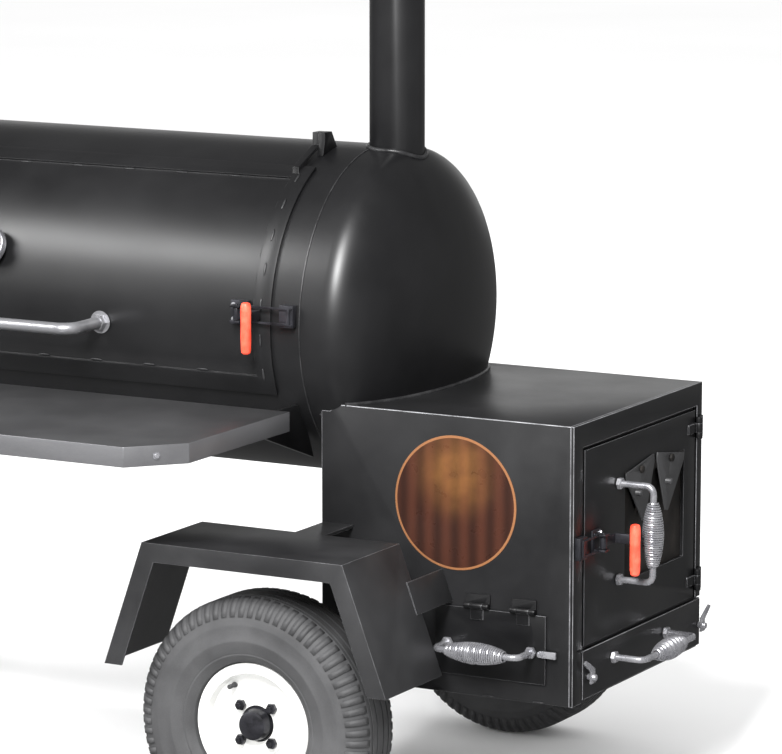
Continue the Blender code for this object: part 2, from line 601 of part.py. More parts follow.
pivot(side_flap, (1.325, FLAP_PIN_Y, FLAP_PIN_Z))
side_handle = coil_handle("side_flap_handle", (1.242, FLAP_FACE - 0.0053, 0.357), (1.408, FLAP_FACE - 0.0053, 0.357),
                          (0, -0.055, 0))
BUTTON_X = 1.4275
side_turn = box("side_flap_turn_button", CHROME, BUTTON_X - 0.002, 1.458, FLAP_FACE - 0.0110, FLAP_FACE - 0.0070,
                0.350, 0.362)
join(side_turn, rod("button_boss", CHROME, (BUTTON_X, FLAP_FACE - 0.0053, 0.356),
                    (BUTTON_X, FLAP_FACE - 0.0130, 0.356), 0.0055, 12))
pivot(side_turn, (BUTTON_X, FLAP_FACE - 0.0090, 0.356))

# ---- emblem plate on the firebox side
emblem = rod("emblem_plate", DECAL, (1.253, FLAP_FACE, 0.610), (1.253, FLAP_FACE - 0.001, 0.610), 0.1215, 36)
soften(emblem, 30)


# ---- over-centre latches: a swinging lever with a grip, a hook that reaches over the door's edge to a catch
def toggle_latch(tag, spot, along, out, grip_at, reach, seat):
    """along: unit direction to the catch; out: unit direction off the door; the lever turns about Z;
    seat: how far the feet run on inwards, to be cut to the skin under them."""
    base_at, a, w = Vector(spot), Vector(along), Vector(out)
    side = 1 if grip_at > 0 else -1

    def block(name, mat, a0, a1, w0, w1, z0, z1):
        p = base_at + a * a0 + w * w0
        q = base_at + a * a1 + w * w1
        return box(name, mat, min(p.x, q.x), max(p.x, q.x), min(p.y, q.y), max(p.y, q.y),
                   base_at.z + z0, base_at.z + z1)

    def post(name, mat, a0, w0, z0, z1, radius):
        p = base_at + a * a0 + w * w0
        return rod(name, mat, (p.x, p.y, base_at.z + z0), (p.x, p.y, base_at.z + z1), radius, 12)

    base = block(tag + "_latch_base", BLACK, -0.020, 0.014, -seat, 0.004, -0.022, 0.022)
    for z0, z1 in ((-0.016, -0.012), (0.012, 0.016)):
        join(base, block("cheek", BLACK, -0.010, 0.010, 0.003, 0.026, z0, z1))
        join(base, block("hook_arm", BLACK, 0.005, reach, 0.0113, 0.0140, z0, z1))
    join(base, block("hook_bar", BLACK, reach - 0.006, reach, 0.0113, 0.0140, -0.014, 0.014))
    join(base, post("pivot_pin", CHROME, 0, 0.018, -0.0180, 0.0180, 0.0030))
    lever = block(tag + "_latch_lever", BLACK, side * 0.004, grip_at + side * 0.004, 0.0150, 0.0190, -0.0085, 0.0085)
    join(lever, post("lever_boss", BLACK, 0, 0.018, -0.0110, 0.0110, 0.0065))
    join(lever, block("lever_riser", BLACK, grip_at - 0.004, grip_at + 0.004, 0.016, 0.0468, -0.0085, 0.0085))
    cut(lever, post("lever_bore", BLACK, 0, 0.018, -0.03, 0.03, 0.0030 + GAP))
    grip = post(tag + "_latch_grip", RED, grip_at, 0.0562, -0.066, 0.028, 0.0090)
    catch = block(tag + "_latch_catch", BLACK, reach - 0.022, reach + 0.006, -seat, 0.0110, -0.020, 0.020)
    centre = base_at + w * 0.018
    for piece in (lever, grip):
        pivot(piece, centre)
        soften(piece, 35)
    return base, lever, grip, catch


LATCH_Z = 0.927
FIRE_LATCH_Z = 0.548
LATCH_SEAT = 0.014
SADDLE = 0.0008  # each saddle is hollowed this much deeper than the round of the skin
door_latch = toggle_latch("door", (0.838, -0.3080, LATCH_Z), (1, 0, 0), (0, -1, 0), 0.042, 0.106, LATCH_SEAT)
cut(door_latch[0], arc_plate("base_saddle", BLACK, 0.70, 1.00, 0.20, SKIN_R1 + SADDLE, -6, 18))
cut(door_latch[3], arc_plate("catch_saddle", BLACK, 0.70, 1.00, 0.20, TANK_R + SADDLE, -6, 18))
fire_latch = toggle_latch("firebox", (DOOR_X1 + GAP, -0.185, FIRE_LATCH_Z), (0, -1, 0), (1, 0, 0), -0.050, 0.072,
                          0)


# ---- wheels, hubs and the axle beam
def wheel(tag, side):
    """side is -1 for the near wheel, +1 for the far one."""
    centre = (WHEEL_X, side * WHEEL_Y, TYRE_R)
    facing = (0, side, 0)
    half = [(0.1010, -0.0460), (0.1142, -0.0470), (0.1180, -0.0600), (0.1600, -0.0725), (0.2120, -0.0640),
            (TYRE_R, -0.0380)]
    section = half + [(r, -w) for r, w in reversed(half)]
    tyre = lathe(tag + "_tyre", RUBBER, section, centre, facing, 30, ring=True)
    rim_section = [
        (0.0935, -0.0510), (0.1132, -0.0510), (0.1132, -0.0475), (0.1002, -0.0475),
        (0.1002, 0.0475), (0.1132, 0.0475), (0.1132, 0.0510), (0.0935, 0.0510),
        (0.0900, 0.0330), (0.0620, 0.0260), (0.0560, 0.0330), (0.0330, 0.0330), (0.0330, 0.0290),
        (0.0545, 0.0290), (0.0620, 0.0210), (0.0900, 0.0270),
    ]
    rim = lathe(tag + "_rim", WHITE, rim_section, centre, facing, 24, ring=True)
    hub_section = [(0.0320, -0.0800), (0.0320, 0.0150), (0.0550, 0.0150), (0.0550, 0.0205), (0.0320, 0.0205),
                   (0.0320, 0.0480), (0.0270, 0.0560), (0.0, 0.0580)]
    hub = lathe(tag + "_hub", BLACK, hub_section, centre, facing, 18)
    inner_end = (WHEEL_X, side * (WHEEL_Y - 0.090), TYRE_R)
    cut(hub, rod("hub_bore", BLACK, inner_end, (WHEEL_X, side * (WHEEL_Y + 0.030), TYRE_R), 0.0128, 16))
    for piece in (tyre, rim, hub):
        pivot(piece, centre)
        soften(piece, 35)
    return tyre, rim, hub


wheel_near = wheel("near_wheel", -1)
wheel_far = wheel("far_wheel", 1)
axle = box("axle_beam", BLACK, WHEEL_X - AXLE_HALF, WHEEL_X + AXLE_HALF, -0.385, 0.385,
           TYRE_R - AXLE_HALF, TYRE_R + AXLE_HALF)
for side in (-1, 1):
    join(axle, rod("spindle", BLACK, (WHEEL_X, side * 0.38, TYRE_R), (WHEEL_X, side * (WHEEL_Y + 0.025), TYRE_R),
                   0.0125, 16))
    inner, outer = sorted((side * 0.150, side * 0.215))
    join(axle, box("axle_pad", BLACK, 0.985, 1.060, inner, outer, TYRE_R + AXLE_HALF - 0.012, BOX_Z0 - GAP))


# ---- fenders: bent sheet with a skirt along the outer edge, two straps to the firebox
def fender(tag, side):
    line = [(0.716, FENDER_LOW), (0.796, FENDER_TOP), (1.201, FENDER_TOP), (1.287, FENDER_LOW)]

    def band(depth):
        low = [(0.716 + depth * 1.06, FENDER_LOW), (0.796 + depth * 0.71, FENDER_TOP - depth),
               (1.201 - depth * 0.70, FENDER_TOP - depth), (1.287 - depth * 1.07, FENDER_LOW)]
        return line + list(reversed(low))

    inner, outer = sorted((side * FENDER_Y0, side * FENDER_Y1))
    made = prism(tag + "_fender", BLACK, band(SHEET), "Y", inner, outer)
    skirt0, skirt1 = sorted((side * (FENDER_Y1 - SHEET), side * FENDER_Y1))
    join(made, prism("skirt", BLACK, band(0.034), "Y", skirt0, skirt1))
    y0, y1 = sorted((side * (BOX_HALF + GAP), side * (FENDER_Y0 + 0.020)))
    join(made, prism("upper_strap", BLACK, [(0.985, 0.5440), (0.985, 0.5500), (1.045, 0.5500), (1.045, 0.5440)],
                     "Y", y0, y1))
    join(made, prism("lower_strap", BLACK, [(1.2245, 0.4880), (1.2275, 0.4880), (1.2480, 0.4320), (1.2420, 0.4320)],
                     "Y", y0, y1))
    soften(made, 25)
    return made


near_fender = fender("near", -1)
far_fender = fender("far", 1)

# ---- tongue under the far end of the tank, with saddles, ball coupler and drop-leg jack
tongue = box("tongue_tube", BLACK, TONGUE_X0, TONGUE_X1, -TONGUE_HALF, TONGUE_HALF, TONGUE_Z0, TONGUE_Z1)
cut(tongue, box("tongue_inside", BLACK, TONGUE_X0 - 0.1, TONGUE_X1 + 0.1, -TONGUE_HALF + 0.005,
                TONGUE_HALF - 0.005, TONGUE_Z0 + 0.005, TONGUE_Z1 - 0.005))
for saddle_x in (-0.360, 0.000):
    outline = [(-0.028, TONGUE_Z1 - 0.002), (0.028, TONGUE_Z1 - 0.002), (0.130, 0.660), (-0.130, 0.660)]
    saddle = prism("tank_saddle", BLACK, outline, "X", saddle_x - 0.005, saddle_x + 0.005)
    cut(saddle, tank_solid("saddle_cope", GAP))
    join(tongue, saddle)
coupler_outline = [
    (TONGUE_X0 + 0.060, -0.040), (TONGUE_X0 + 0.060, 0.040), (TONGUE_X0 - 0.060, 0.040), (-1.545, 0.034),
    (COUPLER_TIP + 0.010, 0.022), (COUPLER_TIP, 0.0), (COUPLER_TIP + 0.010, -0.022), (-1.545, -0.034),
    (TONGUE_X0 - 0.060, -0.040),
]
coupler = prism("coupler", BLACK, coupler_outline, "Z", 0.392, 0.474)
cut(coupler, box("coupler_socket", BLACK, TONGUE_X0 - 0.006, TONGUE_X0 + 0.2, -TONGUE_HALF - GAP, TONGUE_HALF + GAP,
                 TONGUE_Z0 - GAP, TONGUE_Z1 + GAP))
cut(coupler, rod("ball_cup", BLACK, (-1.525, 0, 0.380), (-1.525, 0, 0.452), 0.0262, 24))
for cheek in (-1, 1):
    inner, outer = sorted((cheek * 0.0125, cheek * 0.0185))
    join(coupler, box("lever_cheek", BLACK, -1.478, -1.452, inner, outer, 0.470, 0.496))
join(coupler, rod("lever_pin", BLACK, (-1.465, -0.016, 0.486), (-1.465, 0.016, 0.486), 0.0040))
coupler_lever = box("coupler_lever", GREY, -1.462, -1.340, -0.0120, 0.0120, 0.4800, 0.4850)
join(coupler_lever, rod("lever_hub", GREY, (-1.465, -0.0120, 0.486), (-1.465, 0.0120, 0.486), 0.0085, 16))
cut(coupler_lever, rod("lever_hub_bore", GREY, (-1.465, -0.03, 0.486), (-1.465, 0.03, 0.486), 0.0040 + GAP, 16))
pivot(coupler_lever, (-1.465, 0, 0.486))

JACK_OUTER = 0.0300
JACK_INNER = 0.0255
jack = lathe("jack_outer_tube", BLACK, [(JACK_OUTER, 0.220), (JACK_OUTER, 0.720)], (JACK_X, JACK_Y, 0), (0, 0, 1), 24)
join(jack, box("jack_bracket", BLACK, JACK_X - 0.030, JACK_X + 0.030, TONGUE_HALF + GAP, JACK_Y, 0.405, 0.459))
cut(jack, lathe("jack_bore", BLACK, [(JACK_INNER + GAP, 0.10), (JACK_INNER + GAP, 0.90)], (JACK_X, JACK_Y, 0),
                (0, 0, 1), 24))
join(jack, lathe("jack_cap", BLACK, [(JACK_OUTER + 0.004, 0.7100), (JACK_OUTER + 0.004, 0.732), (0.020, 0.738)],
                 (JACK_X, JACK_Y, 0), (0, 0, 1), 24))
soften(jack, 30)
leg = lathe("jack_leg", STEEL, [(0.0220, 0.010), (0.0220, 0.560), (JACK_INNER, 0.560), (JACK_INNER, 0.010)],
            (JACK_X, JACK_Y, 0), (0, 0, 1), 24, ring=True)
join(leg, box("jack_foot", STEEL, JACK_X - 0.070, JACK_X + 0.070, JACK_Y - 0.070, JACK_Y + 0.070, 0.0, 0.012))
cut(leg, rod("foot_hole", STEEL, (JACK_X, JACK_Y, -0.02), (JACK_X, JACK_Y, 0.03), 0.0080, 12))
pivot(leg, (JACK_X, JACK_Y, 0.010))
soften(leg, 30)

# ---- grease drain with a lever ball valve under the tank
drain_profile = [(DRAIN_R, 0.500), (DRAIN_R, 0.620), (0.0125, 0.620), (0.0125, 0.500)]
drain = lathe("drain_pipe", STEEL, drain_profile, (DRAIN_X, 0, 0), (0, 0, 1), 16, ring=True)
cut(drain, tank_solid("drain_cope", GAP))
join(drain, lathe("valve_body", STEEL, [(DRAIN_R, 0.505), (0.022, 0.510), (0.022, 0.545), (DRAIN_R, 0.550),
                                        (0.0130, 0.550), (0.0130, 0.505)], (DRAIN_X, 0, 0), (0, 0, 1), 16, ring=True))
join(drain, rod("valve_stem", STEEL, (DRAIN_X, -0.0200, 0.5275), (DRAIN_X, -0.0360, 0.5275), 0.0050, 12))
drain_lever = box("drain_lever", RED, DRAIN_X - 0.010, DRAIN_X + 0.052, -0.0335, -0.0300, 0.5195, 0.5355)
cut(drain_lever, rod("drain_lever_bore", RED, (DRAIN_X, -0.05, 0.5275), (DRAIN_X, -0.02, 0.5275), 0.0050 + GAP, 12))
pivot(drain_lever, (DRAIN_X, -0.0318, 0.5275))

# ---- what rides on what
hang(door, handle, thermometer, door_latch[0], door_latch[1])
hang(fire_door, fire_handle, draft_plate, fire_latch[0], fire_latch[1], *draft_flaps)
for latch in (door_latch, fire_latch):
    latch[2].parent = latch[1]
    latch[2].location = (0, 0, 0)
hang(tray, drawer_handle, *drawer_catches)
hang(side_flap, side_handle, side_turn)
for tyre, rim, hub in (wheel_near, wheel_far):
    hang(hub, tyre, rim)

# ---- stand the model with the centre of its footprint over the origin
for piece in bpy.data.objects:
    if piece.parent is None:
        piece.location.y += FOOTPRINT_Y
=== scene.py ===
"""Offset smoker on a road trailer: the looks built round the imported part. Metres, +Z up, X along the tank."""
import json
import math

import bpy
from mathutils import Matrix, Vector

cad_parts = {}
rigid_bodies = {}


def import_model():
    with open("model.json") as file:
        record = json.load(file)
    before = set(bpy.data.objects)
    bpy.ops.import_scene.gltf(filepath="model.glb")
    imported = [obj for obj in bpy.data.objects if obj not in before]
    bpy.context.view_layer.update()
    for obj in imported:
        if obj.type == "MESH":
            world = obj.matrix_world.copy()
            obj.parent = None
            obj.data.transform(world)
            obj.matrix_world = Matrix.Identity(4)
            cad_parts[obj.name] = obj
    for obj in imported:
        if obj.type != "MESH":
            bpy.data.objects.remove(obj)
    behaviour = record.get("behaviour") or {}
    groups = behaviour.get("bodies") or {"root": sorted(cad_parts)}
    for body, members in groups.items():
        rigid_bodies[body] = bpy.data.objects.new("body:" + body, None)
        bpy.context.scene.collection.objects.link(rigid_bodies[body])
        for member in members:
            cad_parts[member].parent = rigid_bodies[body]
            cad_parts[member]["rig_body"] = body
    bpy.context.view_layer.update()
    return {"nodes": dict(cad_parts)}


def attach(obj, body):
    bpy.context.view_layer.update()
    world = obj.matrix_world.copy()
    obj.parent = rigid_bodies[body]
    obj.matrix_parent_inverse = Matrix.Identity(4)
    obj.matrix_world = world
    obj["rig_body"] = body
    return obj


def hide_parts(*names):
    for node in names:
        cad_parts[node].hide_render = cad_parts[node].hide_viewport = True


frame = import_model()

# ---- Studio: long-lens camera low over the cook's right shoulder, white floor, broad soft lamps.
# The floor is matt white board; the lamps are fabric softboxes that leave long quiet bands on black paint.
MID_Y = 0.1005  # middle plane of the tank and the axle
eye = bpy.data.cameras.new("viewpoint")
eye.lens, eye.sensor_width, eye.clip_end = 198.8, 36.0, 100.0
camera = bpy.data.objects.new("viewpoint", eye)
bpy.context.scene.collection.objects.link(camera)
camera.location = (4.75493, -6.91721 + MID_Y, 2.12264)
aim = Vector((0.9761, MID_Y, 0.7737)) - camera.location
camera.rotation_euler = aim.to_track_quat("-Z", "Y").to_euler()
bpy.context.scene.camera = camera
bpy.context.scene.view_settings.view_transform = "Standard"


def node(tree, kind, settings=None, inputs=None):
    """Adds one node; an input is a value, or an output socket to link from."""
    made = tree.nodes.new(kind)
    for key, value in (settings or {}).items():
        setattr(made, key, value)
    for key, value in (inputs or {}).items():
        if isinstance(value, bpy.types.NodeSocket):
            tree.links.new(value, made.inputs[key])
        else:
            made.inputs[key].default_value = value
    return made


def paint(code, alpha=1.0):
    """sRGB hex to linear."""
    parts = [int(code[k:k + 2], 16) / 255 for k in (1, 3, 5)]
    return [c / 12.92 if c <= 0.04045 else ((c + 0.055) / 1.055) ** 2.4 for c in parts] + [alpha]


sky = bpy.data.worlds.new("studio")
bpy.context.scene.world = sky
sky.use_nodes = True
sky_tree = sky.node_tree
sky_tree.nodes["Background"].inputs["Color"].default_value = paint("#ffffff")
seen = node(sky_tree, "ShaderNodeLightPath")
sky_tree.links.new(node(sky_tree, "ShaderNodeMapRange", {}, {
    "Value": seen.outputs["Is Glossy Ray"], "To Min": 1.13, "To Max": 0.21}).outputs["Result"],
    sky_tree.nodes["Background"].inputs["Strength"])
for name, spot, target, size, power in (
    ("tank_band", (-2.6, -2.8, 3.35), (-2.6, -0.1, 1.05), (3.1, 0.9), 250),
    ("dome_strip", (2.0, -3.3, 3.3), (1.04, -0.1, 1.05), (0.8, 1.9), 520),
    ("front_left", (-3.2, -4.6, 2.2), (0.6, 0.1, 0.6), (2.0, 1.6), 30),
    ("horizon", (-3.0, 7.0, 1.9), (0.8, 0.1, 0.8), (9.0, 2.6), 60),
):
    lamp = bpy.data.lights.new(name, "AREA")
    lamp.shape, lamp.size, lamp.size_y, lamp.energy = "RECTANGLE", size[0], size[1], power
    holder = bpy.data.objects.new(name, lamp)
    bpy.context.scene.collection.objects.link(holder)
    holder.location = spot
    holder.rotation_euler = (Vector(target) - holder.location).to_track_quat("-Z", "Y").to_euler()
    holder.visible_camera = False

bpy.ops.object.select_all(action="DESELECT")
bpy.ops.mesh.primitive_plane_add(size=60, location=(0, 0, -0.001))
floor = bpy.context.object
floor.name = "floor"
floor.visible_glossy = False  # keeps the white board out of the paint's reflections
board = bpy.data.materials.new("matt_white_board")
board.use_nodes = True
board_tree = board.node_tree
spread = node(board_tree, "ShaderNodeTexNoise", {}, {
    "Vector": node(board_tree, "ShaderNodeTexCoord").outputs["Object"], "Scale": 0.6})
board_tree.nodes["Principled BSDF"].inputs["Roughness"].default_value = 0.9
board_tree.links.new(node(board_tree, "ShaderNodeMix", {"data_type": "RGBA"}, {
    "Factor": spread.outputs["Fac"], "A": paint("#f1f1f1"), "B": paint("#f7f7f7")}).outputs["Result"],
    board_tree.nodes["Principled BSDF"].inputs["Base Color"])
floor.data.materials.append(board)

# ---- Cooking tank: rolled 6 mm mild steel plate with pressed heads, welded, under satin high-heat paint.
# The paint is sprayed and stoved: near black, fine orange peel, long soft highlights, a little dusty.


def finish(name, dark, light, metal, rough, grain, peel, cloud, stretch=(1, 1, 1), spread=0.08, lift=0.35):
    """A coated or bare surface. grain and cloud are sizes in mm, peel the depth of the fine relief in mm."""
    made = bpy.data.materials.new(name)
    made.use_nodes = True
    tree = made.node_tree
    shader = tree.nodes["Principled BSDF"]
    shader.inputs["Metallic"].default_value = metal
    shader.inputs["Specular IOR Level"].default_value = 0.36 if metal < 0.3 else 0.5
    place = node(tree, "ShaderNodeMapping", {}, {
        "Vector": node(tree, "ShaderNodeTexCoord").outputs["Object"], "Scale": stretch})
    wide = node(tree, "ShaderNodeTexNoise", {}, {
        "Vector": place.outputs["Vector"], "Scale": 1000 / cloud, "Detail": 6.0, "Roughness": 0.6})
    fine = node(tree, "ShaderNodeTexNoise", {}, {
        "Vector": place.outputs["Vector"], "Scale": 1000 / grain, "Detail": 3.0, "Roughness": 0.55})
    mixed = node(tree, "ShaderNodeMath", {"operation": "MULTIPLY_ADD"}, {
        0: fine.outputs["Fac"], 1: lift, 2: wide.outputs["Fac"]})
    tone = node(tree, "ShaderNodeMapRange", {}, {
        "Value": mixed.outputs["Value"], "From Min": 0.36 + lift * 0.4, "From Max": 0.68 + lift * 0.6})
    colour = node(tree, "ShaderNodeMix", {"data_type": "RGBA"}, {
        "Factor": tone.outputs["Result"], "A": paint(dark), "B": paint(light)})
    gloss = node(tree, "ShaderNodeMapRange", {}, {
        "Value": tone.outputs["Result"], "To Min": rough - spread, "To Max": rough + spread})
    relief = node(tree, "ShaderNodeBump", {}, {
        "Height": fine.outputs["Fac"], "Distance": peel / 1000, "Strength": 0.6})
    tree.links.new(colour.outputs["Result"], shader.inputs["Base Color"])
    tree.links.new(gloss.outputs["Result"], shader.inputs["Roughness"])
    tree.links.new(relief.outputs["Normal"], shader.inputs["Normal"])
    return made


SATIN = finish("stoved_satin_black_paint", "#0c0c0d", "#151516", 0.0, 0.37, 2.2, 0.06, 260, spread=0.03,
               lift=0.2)
SOOT = finish("sooted_mild_steel", "#0a0908", "#1d1814", 0.0, 0.85, 3.0, 0.50, 60, spread=0.10)
WELD = finish("painted_weld_bead", "#121213", "#2e2e2f", 0.1, 0.38, 3.5, 0.90, 30)
# A lighter metal grey laid on the rounded edges alone: a painted highlight along the edges.
EDGE_HIGHLIGHT = finish("painted_edge_highlight_steel", "#5c5c5e", "#8d8d90", 0.4, 0.36, 2.0, 0.05, 40)


def clear():
    """Leaves edit mode and deselects everything."""
    if bpy.context.mode != "OBJECT":
        bpy.ops.object.mode_set(mode="OBJECT")
    bpy.ops.object.select_all(action="DESELECT")


def turned(name, outline, spot, along, steps=48, sweep=360.0, begin=0.0):
    """Spins an outline of (radius, distance) pairs about an axis through spot."""
    clear()
    bpy.ops.mesh.primitive_plane_add(size=0.01)
    piece = bpy.context.object
    piece.name = name
    bpy.ops.object.mode_set(mode="EDIT")
    bpy.ops.mesh.merge(type="CENTER")
    bpy.ops.transform.translate(value=(outline[0][0], 0, outline[0][1]))
    for (r0, a0), (r1, a1) in zip(outline, outline[1:]):
        bpy.ops.mesh.extrude_region_move(TRANSFORM_OT_translate={"value": (r1 - r0, 0, a1 - a0)})
    bpy.ops.mesh.select_all(action="SELECT")
    bpy.ops.mesh.spin(steps=steps, angle=math.radians(sweep), center=(0, 0, 0), axis=(0, 0, 1))
    bpy.ops.mesh.select_all(action="SELECT")
    bpy.ops.mesh.remove_doubles(threshold=0.00002)
    bpy.ops.mesh.normals_make_consistent(inside=False)
    bpy.ops.object.mode_set(mode="OBJECT")
    turn = Vector(along).to_track_quat("Z", "Y").to_matrix().to_4x4()
    piece.data.transform(Matrix.Translation(spot) @ turn @ Matrix.Rotation(math.radians(begin), 4, "Z"))
    bpy.ops.object.shade_smooth_by_angle(angle=math.radians(32))
    return piece


def apply_step(piece, kind, **settings):
    """Adds a modifier and applies it."""
    clear()
    piece.select_set(True)
    bpy.context.view_layer.objects.active = piece
    step = piece.modifiers.new(kind.lower(), kind)
    for key, value in settings.items():
        setattr(step, key, value)
    bpy.ops.object.modifier_apply(modifier=step.name)
    return piece


def cut_away(piece, *tools):
    for tool in tools:
        apply_step(piece, "BOOLEAN", operation="DIFFERENCE", solver="EXACT", object=tool)
        bpy.data.objects.remove(tool, do_unlink=True)
    return piece


def smooth(piece, degrees=32):
    clear()
    piece.select_set(True)
    bpy.context.view_layer.objects.active = piece
    bpy.ops.object.shade_smooth_by_angle(angle=math.radians(degrees))
    return piece


def dress(piece, body, skin, slot, *nodes):
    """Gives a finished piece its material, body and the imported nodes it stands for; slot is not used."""
    if skin.name not in piece.data.materials:
        piece.data.materials.clear()
        piece.data.materials.append(skin)
    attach(piece, body)
    if nodes:
        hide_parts(*nodes)
    return piece


def eased(name, skin, slot, edge=0.8, highlight_coat=None, segments=2):
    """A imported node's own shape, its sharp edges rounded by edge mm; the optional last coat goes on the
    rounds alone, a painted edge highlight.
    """
    source = frame["nodes"][name]
    body = source["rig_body"]
    clear()
    piece = bpy.data.objects.new(name + "_shape", source.data.copy())
    bpy.context.scene.collection.objects.link(piece)
    piece.data.materials.clear()
    for coat in (skin, highlight_coat) if highlight_coat else (skin,):
        piece.data.materials.append(coat)
    piece.select_set(True)
    bpy.context.view_layer.objects.active = piece
    bpy.ops.object.mode_set(mode="EDIT")
    bpy.ops.mesh.select_all(action="SELECT")
    bpy.ops.mesh.remove_doubles(threshold=0.00002)
    bpy.ops.mesh.dissolve_limited(angle_limit=math.radians(0.6))
    bpy.ops.object.mode_set(mode="OBJECT")
    apply_step(piece, "BEVEL", width=edge / 1000, segments=segments, limit_method="ANGLE",
               angle_limit=math.radians(40), material=1 if highlight_coat else -1)
    smooth(piece)
    return dress(piece, body, skin, slot, name)


def box_at(name, low, high, edge=0.8):
    """A cube added at its place, with its edges broken."""
    clear()
    bpy.ops.mesh.primitive_cube_add(size=1)
    piece = bpy.context.object
    piece.name = name
    size = Vector(high) - Vector(low)
    piece.data.transform(Matrix.Translation((Vector(low) + Vector(high)) / 2) @ Matrix.Diagonal((*size, 1)))
    if edge:
        apply_step(piece, "BEVEL", width=edge / 1000, segments=2)
        smooth(piece)
    return piece


def joined(name, pieces):
    clear()
    for piece in pieces:
        piece.select_set(True)
    bpy.context.view_layer.objects.active = pieces[0]
    bpy.ops.object.join()
    pieces[0].name = name
    return pieces[0]


def copies(name, model, places):
    """The model repeated at each matrix, every copy with its own mesh, then joined."""
    made = []
    for place in places:
        twin = bpy.data.objects.new(name, model.data.copy())
        bpy.context.scene.collection.objects.link(twin)
        twin.data.transform(place)
        made.append(twin)
    bpy.data.objects.remove(model, do_unlink=True)
    return joined(name, made)


TANK_Z, TANK_R, WALL, HEAD_X0, HEAD_X1, HEAD_DEPTH = 0.900, 0.305, 0.0064, -0.418, 0.998, 0.116
DOOR_MID, DOOR_HALF, DOOR_LOW, DOOR_HIGH = 0.290, 0.592, -20.4, 60.2  # opening: metres along, degrees up
DOOR_X = (DOOR_MID - DOOR_HALF, DOOR_MID + DOOR_HALF)
STACK_X, STACK_R, STACK_BORE = 0.989, 0.0508, 0.0478
STRAP_CLEAR = 0.0006  # the skin stands this much inside the shell, clear of the door straps


def head_outline(shrink):
    """Tank outline from the left apex to the right one; the pressed head is a soft superellipse."""
    radius, depth = TANK_R - shrink, HEAD_DEPTH - shrink
    arc = []
    for k in range(23):
        t = math.pi / 2 * k / 22
        arc.append((radius * math.sin(t) ** (2 / 2.1), depth * math.cos(t) ** (2 / 2.1)))
    left = [(r, HEAD_X0 - d) for r, d in arc]
    right = [(r, HEAD_X1 + d) for r, d in reversed(arc)]
    return left + [(radius, x) for x in (-0.2, 0.1, 0.4, 0.7)] + right


def tank_skin(name, shrink):
    return turned(name, head_outline(shrink), (0, MID_Y, TANK_Z), (1, 0, 0), 144)


def closed(piece):
    """Caps the open ends left by a part turn."""
    clear()
    piece.select_set(True)
    bpy.context.view_layer.objects.active = piece
    bpy.ops.object.mode_set(mode="EDIT")
    bpy.ops.mesh.select_all(action="SELECT")
    bpy.ops.mesh.fill_holes(sides=0)
    bpy.ops.mesh.normals_make_consistent(inside=False)
    bpy.ops.object.mode_set(mode="OBJECT")
    return piece


def door_wedge(name, inner, outer, x0, x1, low, high, steps=30):
    """A curved block between two angles up from the front horizontal."""
    piece = turned(name, [(inner, x0), (outer, x0), (outer, x1), (inner, x1), (inner, x0)],
                   (0, 0, 0), (0, 0, 1), steps, high - low)
    # turned sweeps clockwise from the back, so the block is turned to end at the high angle
    lay = Matrix(((0, 0, 1, 0), (-1, 0, 0, 0), (0, 1, 0, 0), (0, 0, 0, 1)))
    spin = Matrix.Rotation(math.radians(high - 180), 4, "Z")
    piece.data.transform(Matrix.Translation((0, MID_Y, TANK_Z)) @ lay @ spin)
    return closed(piece)


tank = tank_skin("tank_shell_skin", STRAP_CLEAR)
tank = cut_away(tank, tank_skin("tank_hollow", WALL),
                door_wedge("door_opening", 0.20, 0.36, *DOOR_X, DOOR_LOW, DOOR_HIGH),
                turned("stack_opening", [(0, 1.05), (STACK_BORE, 1.05), (STACK_BORE, 1.30), (0, 1.30)],
                       (STACK_X, MID_Y, 0),
                       (0, 0, 1), 48),
                box_at("throat_opening", (1.005, MID_Y - 0.170, 0.640), (1.2, MID_Y + 0.170, 0.739), 0))
smooth(tank, 30)
dress(tank, "chassis", SATIN, "satin_black", "tank_shell")

# ---- Seams of the tank: the beads where the pressed heads meet the rolled shell.
# MIG weld, laid in one pass and painted over, so it reads as a low rippled line catching the light.


def bead_ring(name, x, radius, thick):
    loop = [(radius + thick * math.cos(k * math.pi / 4),
             thick * 1.3 * math.sin(k * math.pi / 4)) for k in range(9)]
    return turned(name, loop, (x, MID_Y, TANK_Z), (1, 0, 0), 120)


for tag, x in (("right", 0.955), ("left", -0.375)):
    dress(bead_ring("head_seam_" + tag, x, TANK_R, 0.0010), "chassis", WELD, "satin_black")

# ---- Smokestack: 4 inch steel tube coped to the tank, with a rain cap on a pin at the back of its mouth.
# Same stoved paint; a heavy fillet weld runs round its foot.


def wire(name, points, radius, sides=4, loop=False):
    """A round bar along points."""
    clear()
    line = bpy.data.curves.new(name, "CURVE")
    line.dimensions, line.bevel_depth, line.bevel_resolution, line.use_fill_caps = "3D", radius, sides, True
    run = line.splines.new("POLY")
    run.points.add(len(points) - 1)
    for spot, target in zip(points, run.points):
        target.co = (*spot, 1)
    run.use_cyclic_u = loop
    piece = bpy.data.objects.new(name, line)
    bpy.context.scene.collection.objects.link(piece)
    piece.select_set(True)
    bpy.context.view_layer.objects.active = piece
    bpy.ops.object.convert(target="MESH")
    return smooth(bpy.context.object, 40)


def head_radius(x):
    """Tank radius at a station."""
    past = max(x - HEAD_X1, HEAD_X0 - x, 0) / HEAD_DEPTH
    return TANK_R * max(1 - past ** 2.1, 0) ** (1 / 2.1)


eased("smokestack", SATIN, "satin_black", 0.6)
eased("stack_cap", SATIN, "satin_black", 0.6)
foot = []
for k in range(72):
    t = 2 * math.pi * k / 72
    x, y = STACK_X + (STACK_R + 0.002) * math.cos(t), (STACK_R + 0.002) * math.sin(t)
    foot.append((x, y + MID_Y, TANK_Z + math.sqrt(head_radius(x) ** 2 - y * y) + 0.001))
dress(wire("stack_foot_weld", foot, 0.0042, 4, True), "chassis", WELD, "satin_black")
